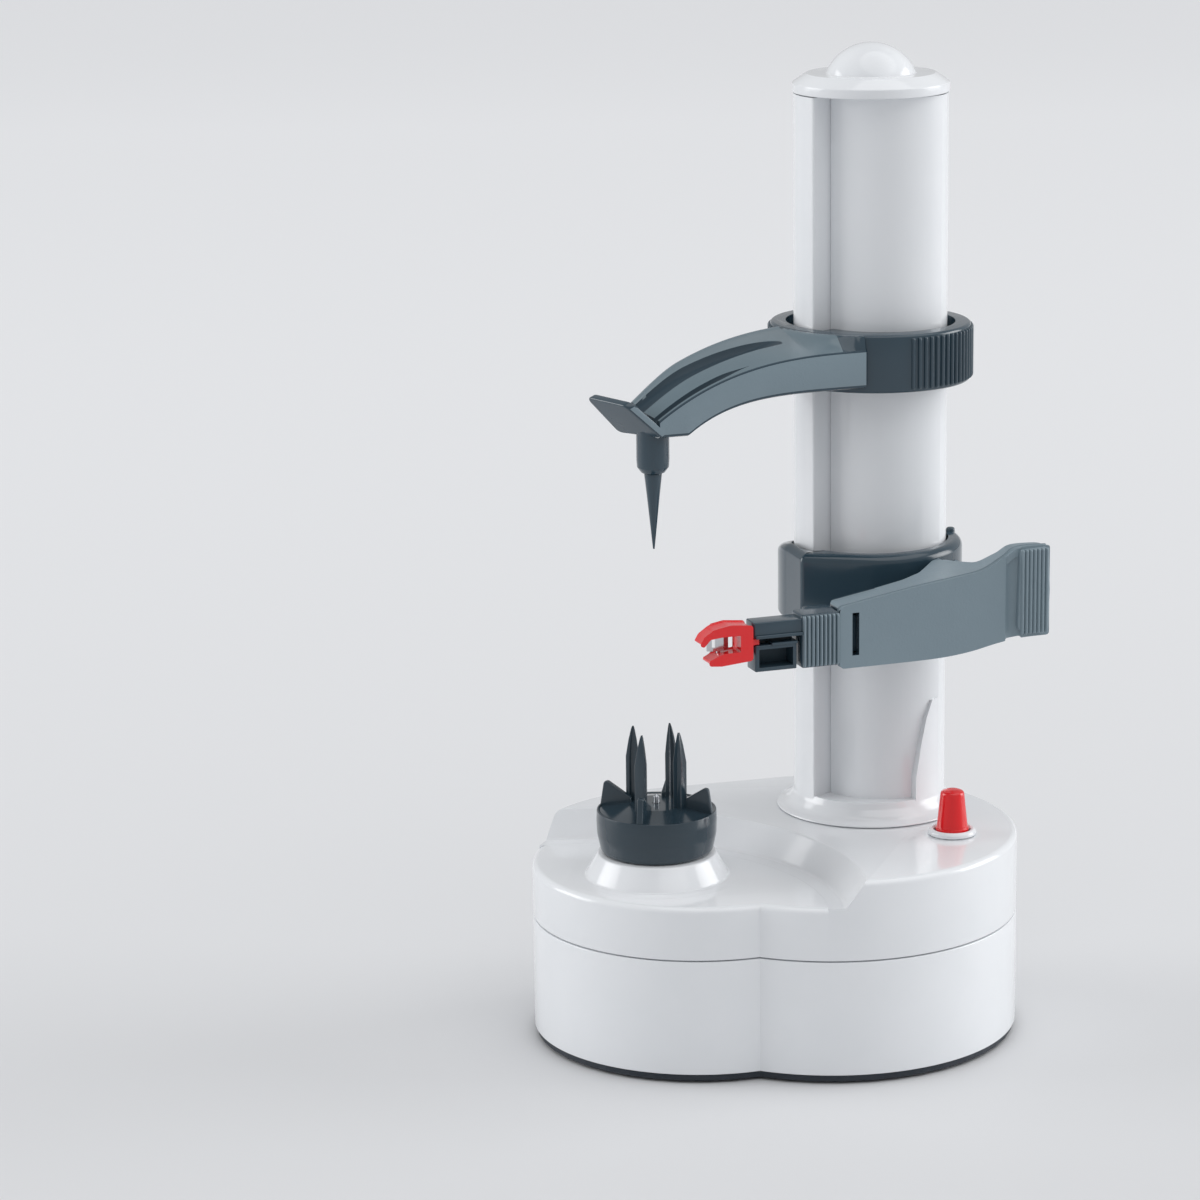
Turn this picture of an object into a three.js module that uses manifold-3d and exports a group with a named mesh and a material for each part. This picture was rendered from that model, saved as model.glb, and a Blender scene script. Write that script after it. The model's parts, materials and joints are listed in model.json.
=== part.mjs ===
// Electric peeler for fruit and vegetables. A battery base turns a fruit holder and, through the same
// gears, a leadscrew in the column. An upper arm holds the fruit with a free-spinning spike, and a
// sprung blade arm rides down the column on the leadscrew until it presses the off button.
// Millimetres, +Z up. The group's origin is the bottom centre of the whole peeler.
import * as THREE from "three";
import { mergeVertices } from "three/addons/utils/BufferGeometryUtils.js";
import Module from "manifold-3d";

const wasm = await Module();
wasm.setup();

const deg = THREE.MathUtils.degToRad;

// Driving dimensions
const overallHeight = 290;
const columnRadius = 22.6;
const axisSpacing = 77.6; // fruit axis to column axis
const axisHeading = deg(33.2); // direction from the fruit axis to the column axis
const armHeading = deg(19); // both arms lie along this direction
const wallThickness = 2.2;
const seatGap = 0.3; // between pieces that sit on each other
const runGap = 0.25; // between a shaft and its bore
const overrun = 2; // how far a cut runs past a face
const weldDistance = 0.001; // corners nearer than this are one corner

const columnX = axisSpacing * Math.cos(axisHeading);
const columnY = axisSpacing * Math.sin(axisHeading);
// The fruit axis as seen from the column, with X along the arms
const fruitX = -columnX * Math.cos(armHeading) - columnY * Math.sin(armHeading);
const fruitY = columnX * Math.sin(armHeading) - columnY * Math.cos(armHeading);

// Materials
function surface(color, roughness, metalness = 0) {
  return new THREE.MeshStandardMaterial({ color, roughness, metalness });
}
const whitePlastic = surface(0xeceef0, 0.22);
const darkPlastic = surface(0x33454f, 0.38);
const holderPlastic = surface(0x2c3f49, 0.3);
const redPlastic = surface(0xd6252b, 0.3);
const plateBlack = surface(0x232c33, 0.6);
const rubber = surface(0x1c1f22, 0.9);
const steel = surface(0xc9cccf, 0.28, 1);
const brass = surface(0xb8963e, 0.35, 1);
const gearNylon = surface(0xe6e3d6, 0.5);
const cellSleeve = surface(0x3b6f8f, 0.4);

// Solids: geometry goes in as closed surfaces, and is joined and cut
function toSolid(geometry) {
  const bare = geometry.index ? geometry.toNonIndexed() : geometry.clone();
  bare.deleteAttribute("normal");
  bare.deleteAttribute("uv");
  const merged = mergeVertices(bare, weldDistance);
  const vertProperties = merged.attributes.position.array;
  const triVerts = new Uint32Array(merged.index.array);
  const made = new wasm.Manifold(new wasm.Mesh({ numProp: 3, vertProperties, triVerts }));
  if (made.volume() > 0) return made;
  const turned = triVerts.slice();
  for (let i = 0; i < turned.length; i += 3) [turned[i + 1], turned[i + 2]] = [turned[i + 2], turned[i + 1]];
  return new wasm.Manifold(new wasm.Mesh({ numProp: 3, vertProperties, triVerts: turned }));
}

function toGeometry(made) {
  const mesh = made.getMesh();
  const geometry = new THREE.BufferGeometry();
  geometry.setAttribute("position", new THREE.BufferAttribute(mesh.vertProperties, 3));
  geometry.setIndex(new THREE.BufferAttribute(mesh.triVerts, 1));
  const faceted = geometry.toNonIndexed();
  faceted.computeVertexNormals();
  return faceted;
}

const join = (first, ...others) => others.reduce((sum, other) => sum.add(other), first);
const cut = (first, ...others) => others.reduce((rest, other) => rest.subtract(other), first);
const meet = (first, other) => first.intersect(other);

// An upright cylinder
function rod(radius, low, high, sides = 24, x = 0, y = 0) {
  const geometry = new THREE.CylinderGeometry(radius, radius, high - low, sides);
  geometry.rotateX(Math.PI / 2).translate(x, y, (low + high) / 2);
  return toSolid(geometry);
}

// A block between two corners
function block(xLow, xHigh, yLow, yHigh, zLow, zHigh) {
  const geometry = new THREE.BoxGeometry(xHigh - xLow, yHigh - yLow, zHigh - zLow);
  geometry.translate((xLow + xHigh) / 2, (yLow + yHigh) / 2, (zLow + zHigh) / 2);
  return toSolid(geometry);
}

// A plan outline raised from low to high
function prism(points, low, high) {
  const outline = new THREE.Shape(points);
  const geometry = new THREE.ExtrudeGeometry(outline, { depth: high - low, bevelEnabled: false });
  return toSolid(geometry.translate(0, 0, low));
}

// A side outline in X and Z, run along Y from near to far
function slab(points, near, far) {
  const outline = new THREE.Shape(points);
  const geometry = new THREE.ExtrudeGeometry(outline, { depth: far - near, bevelEnabled: false });
  return toSolid(geometry.rotateX(Math.PI / 2).translate(0, far, 0));
}

// A profile of radius and height turned about an upright axis
function turned(profile, sides = 32, x = 0, y = 0) {
  const points = profile.map(([radius, height]) => new THREE.Vector2(radius, height));
  return toSolid(new THREE.LatheGeometry(points, sides).rotateX(Math.PI / 2).translate(x, y, 0));
}

// A closed skin over a row of equal rings of points, with flat ends
function loft(rings) {
  const count = rings[0].length;
  const corners = rings.flat();
  const faces = [];
  for (let i = 0; i + 1 < rings.length; i++) {
    for (let j = 0; j < count; j++) {
      const a = i * count + j;
      const b = i * count + ((j + 1) % count);
      faces.push(a, b, b + count, a, b + count, a + count);
    }
  }
  const across = rings[0].map((p) => p.clone().sub(rings[0][0]));
  const normal = new THREE.Vector3();
  for (let j = 1; j + 1 < count; j++) normal.add(across[j].clone().cross(across[j + 1]));
  normal.normalize();
  const side = across.reduce((far, p) => (p.length() > far.length() ? p : far)).clone().normalize();
  const up = normal.clone().cross(side);
  for (const [ring, start, flip] of [
    [rings[0], 0, true],
    [rings[rings.length - 1], corners.length - count, false],
  ]) {
    const flat = ring.map((p) => new THREE.Vector2(p.dot(side), p.dot(up)));
    for (const [a, b, c] of THREE.ShapeUtils.triangulateShape(flat, [])) {
      faces.push(start + a, start + (flip ? c : b), start + (flip ? b : c));
    }
  }
  const geometry = new THREE.BufferGeometry();
  geometry.setAttribute("position", new THREE.Float32BufferAttribute(corners.flatMap((p) => p.toArray()), 3));
  geometry.setIndex(faces);
  return toSolid(geometry);
}

function polar(radius, angle, centre = { x: 0, y: 0 }) {
  return new THREE.Vector2(centre.x + radius * Math.cos(angle), centre.y + radius * Math.sin(angle));
}

function arc(radius, from, to, steps, centre = { x: 0, y: 0 }) {
  return Array.from({ length: steps + 1 }, (_, i) => polar(radius, from + ((to - from) * i) / steps, centre));
}

// Groups: the base frame stands on the fruit axis, the column frame on the column axis
const peeler = new THREE.Group();
const baseFrame = new THREE.Group();
const columnFrame = new THREE.Group();
columnFrame.position.set(columnX, columnY, 0);
columnFrame.rotation.z = armHeading;
peeler.add(baseFrame, columnFrame);

function addPiece(frame, name, made, material) {
  const mesh = new THREE.Mesh(toGeometry(made), material);
  mesh.name = name;
  frame.add(mesh);
}

// Heights, from the table up: door, cells, tray, gear chassis, three steps of gears, floor and deck
const cell = { radius: 7.25, length: 49.2, nubRadius: 2.6, nubLength: 1.3, gap: 0.4, count: 4, sides: 16 };
const cellPitch = 2 * cell.radius + cell.gap;
const tray = { centreX: 51, centreY: 15.5, endRoom: 3.4, wall: 1.4, topRoom: 2.2, sideRoom: 0.45 };
const trayHalfX = (cellPitch * cell.count) / 2 + tray.sideRoom;
const trayHalfY = (cell.length + cell.nubLength) / 2 + tray.endRoom;
const door = {
  low: 0.6,
  thickness: 1.9,
  gripWidth: 18,
  gripDepth: 0.7,
  gripPitch: 2.4,
  gripCount: 4,
  gripInset: 5,
};
const cellZ = door.low + door.thickness + seatGap + cell.radius;
const trayTop = cellZ + cell.radius + tray.topRoom + tray.wall;
const train = {
  chassisRoom: 1.6,
  chassisThickness: 2,
  chassisInset: 2.6,
  standHole: 4.2,
  axleRadius: 1.5,
  firstModule: 0.9,
  secondModule: 1,
  driveModule: 1.2,
  firstRoom: 2.5,
  secondRoom: 2,
  driveRoom: 2.5,
  topRoom: 5.5,
  faceWidth: 4.5,
  pinionTeeth: 10,
  wheelTeeth: 30,
  idlerTeeth: 22,
  screwTeeth: 12,
  hubRadius: 3,
  backlash: 0.12,
};
const chassisLow = trayTop + train.chassisRoom;
const chassisTop = chassisLow + train.chassisThickness;
const firstLow = chassisTop + train.firstRoom;
const secondLow = firstLow + train.faceWidth + train.secondRoom;
const driveLow = secondLow + train.faceWidth + train.driveRoom;
const driveHigh = driveLow + train.faceWidth;
const floorUnder = driveHigh + train.topRoom;
const floorHeight = floorUnder + wallThickness;
const floorStep = 8; // the front floor lies this far below the rear deck
const baseHeight = floorHeight + floorStep;
const deckUnder = baseHeight - wallThickness;

// Base outline: two round lobes, creased where they meet in front and joined by a flat run behind
const lobes = {
  left: { x: 12.6, y: 14.6, radius: 49.4 },
  right: { x: 51.3, y: 18.8, radius: 55.7 },
  rightSteps: 26,
  leftSteps: 20,
};
function baseOutline(inset) {
  const { left, right } = lobes;
  const leftRadius = left.radius - inset;
  const rightRadius = right.radius - inset;
  const apart = Math.hypot(right.x - left.x, right.y - left.y);
  const heading = Math.atan2(right.y - left.y, right.x - left.x);
  const along = (apart * apart + leftRadius * leftRadius - rightRadius * rightRadius) / (2 * apart);
  const leftCrease = heading - Math.acos(along / leftRadius);
  const rightCrease = heading - Math.acos((along - apart) / rightRadius);
  const tangent = heading + Math.acos((left.radius - right.radius) / apart);
  const rightArc = arc(rightRadius, rightCrease, tangent, lobes.rightSteps, right);
  const leftArc = arc(leftRadius, tangent, leftCrease + 2 * Math.PI, lobes.leftSteps, left);
  return [...rightArc, ...leftArc.slice(0, -1)];
}

// The base outline stacked at several insets and heights
function baseStack(levels) {
  return loft(levels.map(([inset, z]) => baseOutline(inset).map((p) => new THREE.Vector3(p.x, p.y, z))));
}

const shell = {
  underside: 2.5, // lower edge of the white housing
  splitHeight: 36.8,
  splitGroove: 0.4,
  edgeRadius: 1.8,
  edgeSteps: 2,
  lipHeight: 3,
  lipThickness: 1.1,
  recessX: -20,
  recessY: -38,
  recessTopRadius: 79,
  recessFloorRadius: 73.2,
  recessSteps: 56,
};
const splitTop = shell.splitHeight + shell.splitGroove / 2;
const splitLow = shell.splitHeight - shell.splitGroove / 2;

// Upper housing
const pedestal = { bottomRadius: 21, topRadius: 16.8, height: 6.9, blend: 1.2 };
const pedestalTop = floorHeight + pedestal.height;
const bush = { innerRadius: 4.3, outerRadius: 6.5, flangeRadius: 8.4, flange: 1.2, length: 8.6 };
const boss = { radius: 3.5, boreRadius: 1.3, bottom: 4.2, frontX: 76, wallShare: 0.4739817 };
// The front right boss stands between the tray and the wall
const trayFront = tray.centreY - trayHalfY;
const wallReach = Math.sqrt((lobes.right.radius - wallThickness) ** 2 - (boss.frontX - lobes.right.x) ** 2);
const bossFrontY = THREE.MathUtils.lerp(trayFront, lobes.right.y - wallReach, boss.wallShare);
const bossPlaces = [
  [-27, -2, floorUnder],
  [boss.frontX, bossFrontY, deckUnder],
  [30, 62, deckUnder],
  [91, 42, deckUnder],
];
const spigot = { radius: 18.9, length: 4.4 };
const columnHole = spigot.radius + seatGap;
const switchPlace = { u: 10.1, v: 38.9 }; // from the column axis, along and in front of the arms
const switchX = columnX + switchPlace.u * Math.cos(armHeading) + switchPlace.v * Math.sin(armHeading);
const switchY = columnY + switchPlace.u * Math.sin(armHeading) - switchPlace.v * Math.cos(armHeading);
const bezel = { outerRadius: 7, innerRadius: 5.3, rise: 2, neckRadius: 6.1, neckDepth: 3.4 };

function roundedTop(top) {
  const levels = [];
  for (let i = 0; i <= shell.edgeSteps; i++) {
    const turn = ((Math.PI / 2) * i) / shell.edgeSteps;
    levels.push([shell.edgeRadius * (1 - Math.cos(turn)), top - shell.edgeRadius * (1 - Math.sin(turn))]);
  }
  return levels;
}

function recessCutter(low, high, grow) {
  const slope = (shell.recessTopRadius - shell.recessFloorRadius) / (baseHeight - floorHeight);
  const radiusAt = (z) => shell.recessFloorRadius + grow + (z - floorHeight) * slope;
  const profile = [
    [0, low],
    [radiusAt(low), low],
    [radiusAt(high), high],
    [0, high],
  ];
  return turned(profile, shell.recessSteps, shell.recessX, shell.recessY);
}

function makeUpperHousing() {
  const lowDeck = baseStack([[0, splitTop], ...roundedTop(floorHeight)]);
  const highDeck = baseStack([[0, splitTop], ...roundedTop(baseHeight)]);
  const recess = recessCutter(floorHeight, baseHeight + overrun, 0);
  const outside = join(cut(highDeck, recess), lowDeck);
  const lowRoom = baseStack([
    [wallThickness, splitTop - overrun],
    [wallThickness, floorUnder],
  ]);
  const highRoom = baseStack([
    [wallThickness, splitTop - overrun],
    [wallThickness, deckUnder],
  ]);
  const room = join(lowRoom, cut(highRoom, recessCutter(floorUnder, baseHeight, wallThickness)));
  const lip = cut(
    baseStack([
      [wallThickness + seatGap, splitLow - shell.lipHeight],
      [wallThickness + seatGap, splitTop + overrun],
    ]),
    baseStack([
      [wallThickness + seatGap + shell.lipThickness, splitLow - shell.lipHeight - overrun],
      [wallThickness + seatGap + shell.lipThickness, splitTop + 2 * overrun],
    ]),
  );
  const lipRoot = cut(
    baseStack([
      [wallThickness - seatGap, splitTop],
      [wallThickness - seatGap, splitTop + overrun],
    ]),
    baseStack([
      [wallThickness + seatGap + shell.lipThickness, splitTop - overrun],
      [wallThickness + seatGap + shell.lipThickness, splitTop + 2 * overrun],
    ]),
  );
  const cone = turned([
    [0, floorUnder],
    [pedestal.bottomRadius, floorUnder],
    [pedestal.bottomRadius, floorHeight],
    [pedestal.topRadius + pedestal.blend, pedestalTop - pedestal.blend],
    [pedestal.topRadius, pedestalTop],
    [0, pedestalTop],
  ]);
  const posts = bossPlaces.map(([x, y, top]) => rod(boss.radius, boss.bottom, top + overrun / 2, 12, x, y));
  const boreLow = boss.bottom - overrun;
  const bores = bossPlaces.map(([x, y, top]) => rod(boss.boreRadius, boreLow, top - overrun, 8, x, y));
  const spindleHole = rod(bush.outerRadius + seatGap, floorUnder - overrun, pedestalTop + overrun, 24);
  const flangeRoom = rod(bush.flangeRadius + seatGap, floorUnder - overrun, floorUnder + bush.flange, 24);
  const deckCut = [deckUnder - overrun, baseHeight + overrun];
  const columnRoom = rod(columnHole, ...deckCut, 36, columnX, columnY);
  const switchRoom = rod(bezel.neckRadius + seatGap, ...deckCut, 24, switchX, switchY);
  return cut(
    join(cut(outside, room), lip, lipRoot, cone, ...posts),
    ...bores,
    spindleHole,
    flangeRoom,
    columnRoom,
    switchRoom,
  );
}

// Bottom plate, cells and feet
const plate = {
  inset: 0.8,
  low: 0.6,
  rimTop: 2.2,
  floorTop: 3.9,
  standRadius: 3,
};
const standPlaces = [
  [-17, -15],
  [14, -27],
  [92, 10],
  [40, 60],
];
const foot = { radius: 5.6, height: 2.1, pocketRoom: 0.3 };
const footPlaces = [
  [-20, 10],
  [8, -22],
  [89, -8],
  [36, 55],
];
const screw = { headRadius: 2.7, headHeight: 1.6, shankRadius: 1.05, length: 14, sinkRadius: 3.1 };

function makeBottomPlate() {
  const rim = baseStack([
    [plate.inset, plate.low],
    [plate.inset, plate.rimTop],
  ]);
  const floor = baseStack([
    [wallThickness + seatGap, plate.low],
    [wallThickness + seatGap, plate.floorTop],
  ]);
  const standTop = chassisLow - seatGap;
  const stands = standPlaces.map(([x, y]) => rod(plate.standRadius, plate.rimTop, standTop, 10, x, y));
  const { centreX, centreY, wall } = tray;
  const room = [centreX - trayHalfX, centreX + trayHalfX, centreY - trayHalfY, centreY + trayHalfY];
  const box = block(room[0] - wall, room[1] + wall, room[2] - wall, room[3] + wall, plate.rimTop, trayTop);
  const inside = block(...room, plate.low - overrun, trayTop - wall);
  const pockets = footPlaces.map(([x, y]) =>
    rod(foot.radius + foot.pocketRoom, plate.low - overrun, foot.height + seatGap, 20, x, y),
  );
  const holes = bossPlaces.flatMap(([x, y]) => [
    rod(screw.shankRadius + runGap, plate.low - overrun, plate.floorTop + overrun, 8, x, y),
    rod(screw.sinkRadius, plate.low - overrun, plate.low + screw.headHeight + seatGap, 12, x, y),
  ]);
  return cut(join(rim, floor, ...stands, box), inside, ...pockets, ...holes);
}

// The door turns down about the lower edge nearest the front
function makeDoor() {
  const { centreX, centreY } = tray;
  const left = centreX - trayHalfX + seatGap;
  const right = centreX + trayHalfX - seatGap;
  const near = centreY - trayHalfY + seatGap;
  const far = centreY + trayHalfY - seatGap;
  const panel = block(left, right, near, far, door.low, door.low + door.thickness);
  const grooves = Array.from({ length: door.gripCount }, (_, i) => {
    const y = far - door.gripInset - i * door.gripPitch;
    const half = door.gripPitch / 4;
    const reach = door.gripWidth / 2;
    const deep = door.low + door.gripDepth;
    return block(centreX - reach, centreX + reach, y - half, y + half, door.low - overrun, deep);
  });
  return cut(panel, ...grooves);
}

function makeCell(index) {
  const x = tray.centreX + (index - (cell.count - 1) / 2) * cellPitch;
  const half = (cell.length + cell.nubLength) / 2;
  const can = toSolid(new THREE.CylinderGeometry(cell.radius, cell.radius, cell.length, cell.sides));
  const nubLength = cell.nubLength + overrun;
  const nub = new THREE.CylinderGeometry(cell.nubRadius, cell.nubRadius, nubLength, cell.sides / 2);
  nub.translate(0, cell.length / 2 + cell.nubLength - nubLength / 2, 0);
  const whole = toGeometry(join(can, toSolid(nub))).translate(0, cell.length / 2 - half, 0);
  if (index % 2) whole.rotateZ(Math.PI);
  return toSolid(whole.translate(x, tray.centreY, cellZ));
}

// Contact strips with a raised dimple at each cell
const contact = { thickness: 0.6, halfHeight: 5, dimpleRadius: 2.8, tipRadius: 1.2 };
function makeContact(side) {
  const wallY = tray.centreY + side * (trayHalfY - seatGap);
  const inner = wallY - side * contact.thickness;
  const left = tray.centreX - trayHalfX + seatGap;
  const right = tray.centreX + trayHalfX - seatGap;
  const across = [Math.min(wallY, inner), Math.max(wallY, inner)];
  const strip = block(left, right, ...across, cellZ - contact.halfHeight, cellZ + contact.halfHeight);
  const reach = tray.endRoom - 2 * seatGap - contact.thickness;
  const dimples = Array.from({ length: cell.count }, (_, i) => {
    const x = tray.centreX + (i - (cell.count - 1) / 2) * cellPitch;
    const length = reach + contact.thickness / 2;
    const cone = new THREE.CylinderGeometry(contact.tipRadius, contact.dimpleRadius, length, 8);
    if (side > 0) cone.rotateZ(Math.PI);
    return toSolid(cone.translate(x, inner + side * (contact.thickness / 2 - length / 2), cellZ));
  });
  return join(strip, ...dimples);
}

addPiece(baseFrame, "upper_housing", makeUpperHousing(), whitePlastic);

// Lower housing: a plain band, open above and below
const lowerOutside = baseStack([
  [shell.splitGroove, shell.underside],
  [0, shell.underside + shell.splitGroove],
  [0, splitLow],
]);
const lowerInside = baseStack([
  [wallThickness, shell.underside - overrun],
  [wallThickness, splitLow + overrun],
]);
addPiece(baseFrame, "lower_housing", cut(lowerOutside, lowerInside), whitePlastic);
addPiece(baseFrame, "bottom_plate", makeBottomPlate(), plateBlack);
addPiece(baseFrame, "battery_door", makeDoor(), plateBlack);
for (let i = 0; i < cell.count; i++) addPiece(baseFrame, "battery_" + (i + 1), makeCell(i), cellSleeve);
addPiece(baseFrame, "contact_strip_front", makeContact(-1), steel);
addPiece(baseFrame, "contact_strip_rear", makeContact(1), steel);
footPlaces.forEach(([x, y], i) => {
  addPiece(baseFrame, "rubber_foot_" + (i + 1), rod(foot.radius, 0, foot.height, 20, x, y), rubber);
});
bossPlaces.forEach(([x, y], i) => {
  const top = plate.low + screw.headHeight;
  const head = rod(screw.headRadius, plate.low, top, 12, x, y);
  const shank = rod(screw.shankRadius, top - overrun / 2, plate.low + screw.length, 8, x, y);
  addPiece(baseFrame, "housing_screw_" + (i + 1), join(head, shank), steel);
});

// Gears: straight teeth with plain flanks, thinner than half the pitch so that they run free
const tooth = { addendumShare: 0.8, dedendumShare: 1.05, tipShare: 0.2, rootShare: 0.56 };
function gearOutline(module, teeth, phase) {
  const pitchRadius = (module * teeth) / 2;
  const tip = pitchRadius + tooth.addendumShare * module;
  const root = pitchRadius - tooth.dedendumShare * module;
  const step = (2 * Math.PI) / teeth;
  return Array.from({ length: teeth }, (_, i) => {
    const middle = phase + i * step;
    return [
      polar(root, middle - (tooth.rootShare * step) / 2),
      polar(tip, middle - (tooth.tipShare * step) / 2),
      polar(tip, middle + (tooth.tipShare * step) / 2),
      polar(root, middle + (tooth.rootShare * step) / 2),
    ];
  }).flat();
}
function gearDisc(module, teeth, low, high, phase, bore) {
  const disc = prism(gearOutline(module, teeth, phase), low, high);
  return cut(disc, rod(bore, low - overrun, high + overrun, 12));
}
// The tooth phase that puts a follower in mesh with its driver across the line between them
function meshPhase(driverPhase, driverTeeth, followerTeeth, heading) {
  const driverStep = (2 * Math.PI) / driverTeeth;
  const followerStep = (2 * Math.PI) / followerTeeth;
  const offset = (heading - driverPhase) / driverStep;
  return heading + Math.PI + (offset - Math.floor(offset)) * followerStep + followerStep / 2;
}

const meshDistance = (module, a, b) => (module * (a + b)) / 2 + train.backlash;
const wheelHeading = { gearB: deg(100), gearA: deg(50), motor: deg(180) };
const wheelAndPinion = [train.wheelTeeth, train.pinionTeeth];
const placeB = polar(meshDistance(train.driveModule, ...wheelAndPinion), wheelHeading.gearB);
const placeA = polar(meshDistance(train.secondModule, ...wheelAndPinion), wheelHeading.gearA, placeB);
const placeMotor = polar(meshDistance(train.firstModule, ...wheelAndPinion), wheelHeading.motor, placeA);

// Two equal idlers bridge the way to the column, bent a little so that all four gears mesh
const firstReach = meshDistance(train.driveModule, train.wheelTeeth, train.idlerTeeth);
const middleReach = meshDistance(train.driveModule, train.idlerTeeth, train.idlerTeeth);
const lastReach = meshDistance(train.driveModule, train.idlerTeeth, train.screwTeeth);
function bridge() {
  // The second idler lies on a circle about the column axis, the first one on a circle about the fruit
  // axis. The first one's heading is turned until the idlers are one mesh distance apart.
  let low = 0;
  let high = deg(20);
  let bend = 0;
  let second = 0;
  for (let i = 0; i < 50; i++) {
    bend = (low + high) / 2;
    const x = firstReach * Math.cos(bend);
    const y = firstReach * Math.sin(bend);
    const rest = Math.hypot(axisSpacing - x, y);
    const span = middleReach + lastReach;
    if (rest > span) high = bend;
    else low = bend;
    second = Math.atan2(-y, axisSpacing - x);
  }
  return { bend, second };
}
const bridged = bridge();
const placeIdlerOne = polar(firstReach, axisHeading + bridged.bend);
const placeIdlerTwo = polar(middleReach, axisHeading + bridged.second, placeIdlerOne);
const headingToScrew = Math.atan2(columnY - placeIdlerTwo.y, columnX - placeIdlerTwo.x);

const phases = { turntable: 0 };
phases.idlerOne = meshPhase(0, train.wheelTeeth, train.idlerTeeth, axisHeading + bridged.bend);
phases.idlerTwo = meshPhase(
  phases.idlerOne,
  train.idlerTeeth,
  train.idlerTeeth,
  axisHeading + bridged.second,
);
phases.screw = meshPhase(phases.idlerTwo, train.idlerTeeth, train.screwTeeth, headingToScrew);
phases.pinionB = meshPhase(0, train.wheelTeeth, train.pinionTeeth, wheelHeading.gearB);
phases.pinionA = meshPhase(0, train.wheelTeeth, train.pinionTeeth, wheelHeading.gearA);
phases.motor = meshPhase(0, train.wheelTeeth, train.pinionTeeth, wheelHeading.motor);

const axleBore = train.axleRadius + runGap;
function stepped(place, wheelModule, wheelLow, pinionModule, pinionLow, pinionPhase) {
  const wheel = gearDisc(wheelModule, train.wheelTeeth, wheelLow, wheelLow + train.faceWidth, 0, axleBore);
  const pinionHigh = pinionLow + train.faceWidth;
  const pinion = gearDisc(pinionModule, train.pinionTeeth, pinionLow, pinionHigh, pinionPhase, axleBore);
  const hub = cut(
    rod(train.hubRadius, chassisTop + seatGap, pinionHigh, 16),
    rod(axleBore, chassisTop - overrun, pinionHigh + overrun, 12),
  );
  return toSolid(toGeometry(join(wheel, hub, pinion)).translate(place.x, place.y, 0));
}
function axle(place) {
  const high = driveHigh + 2 * train.axleRadius;
  return rod(train.axleRadius, chassisLow, high, 12, place.x, place.y);
}
function idler(place, phase) {
  const high = driveHigh;
  const wheel = gearDisc(train.driveModule, train.idlerTeeth, driveLow, high, phase, axleBore);
  const hub = cut(
    rod(train.hubRadius, chassisTop + seatGap, high, 16),
    rod(axleBore, chassisTop - overrun, high + overrun, 12),
  );
  return toSolid(toGeometry(join(wheel, hub)).translate(place.x, place.y, 0));
}

// Motor, its pinion and the chassis that carries the gears
const motor = { radius: 11.8, low: 4.6, noseRadius: 3, noseBore: 1.3, shaftRadius: 1, flatShare: 0.82 };
function makeMotor() {
  const can = rod(motor.radius, motor.low, chassisLow - seatGap, 28);
  const flat = motor.radius * motor.flatShare;
  const sides = block(-flat, flat, -motor.radius, motor.radius, motor.low, chassisTop);
  const nose = rod(motor.noseRadius, motor.low + overrun, chassisTop, 16);
  const bore = rod(motor.noseBore, chassisLow - motor.noseRadius, chassisTop + overrun, 12);
  const whole = cut(join(meet(can, sides), nose), bore);
  return toSolid(toGeometry(whole).translate(placeMotor.x, placeMotor.y, 0));
}
function makeMotorPinion() {
  const high = firstLow + train.faceWidth;
  const pinion = prism(gearOutline(train.firstModule, train.pinionTeeth, phases.motor), firstLow, high);
  const shaft = rod(motor.shaftRadius, chassisLow - motor.noseRadius + seatGap, high, 10);
  return toSolid(toGeometry(join(pinion, shaft)).translate(placeMotor.x, placeMotor.y, 0));
}
function makeChassis() {
  const sheet = baseStack([
    [train.chassisInset, chassisLow],
    [train.chassisInset, chassisTop],
  ]);
  const high = chassisTop + overrun;
  const low = chassisLow - overrun;
  const posts = bossPlaces.map(([x, y]) => rod(boss.radius + 2 * seatGap, low, high, 14, x, y));
  const pins = [placeA, placeB, placeIdlerOne, placeIdlerTwo].map((p) =>
    rod(train.axleRadius + seatGap, low, high, 12, p.x, p.y),
  );
  const nose = rod(motor.noseRadius + seatGap, low, high, 16, placeMotor.x, placeMotor.y);
  return cut(sheet, ...posts, ...pins, nose);
}

// Turntable: spindle and its gear, holder and centre pin, all turning on the fruit axis
const spindle = { radius: 4, topRadius: 3.4, topReach: 5.6, topFlat: 2.6 };
const holder = {
  bottomRadius: 16.5,
  bellyRadius: 17.5,
  topRadius: 16.9,
  height: 10.4,
  dish: 1.4,
  finHeight: 7.4,
  finLength: 7.4,
  finThickness: 1.8,
  finPeakShare: 0.24,
  prongRadius: 7.7,
  prongHeight: 26,
  prongWidth: 3.4,
  prongWeb: 1.3,
  prongTip: 9,
  prongStart: deg(-122),
  prongs: 4,
};
const holderLow = pedestalTop + seatGap;
const holderTop = holderLow + holder.height;
const spindleTop = holderLow + spindle.topReach;

function makeSpindle() {
  const shaft = rod(spindle.radius, chassisTop + seatGap, pedestalTop, 20);
  const { topRadius, topFlat } = spindle;
  const topLow = pedestalTop - overrun;
  const top = meet(
    rod(topRadius, topLow, spindleTop, 20),
    block(-topRadius, topRadius, -topFlat, topFlat, topLow, spindleTop),
  );
  return join(shaft, top);
}

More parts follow.
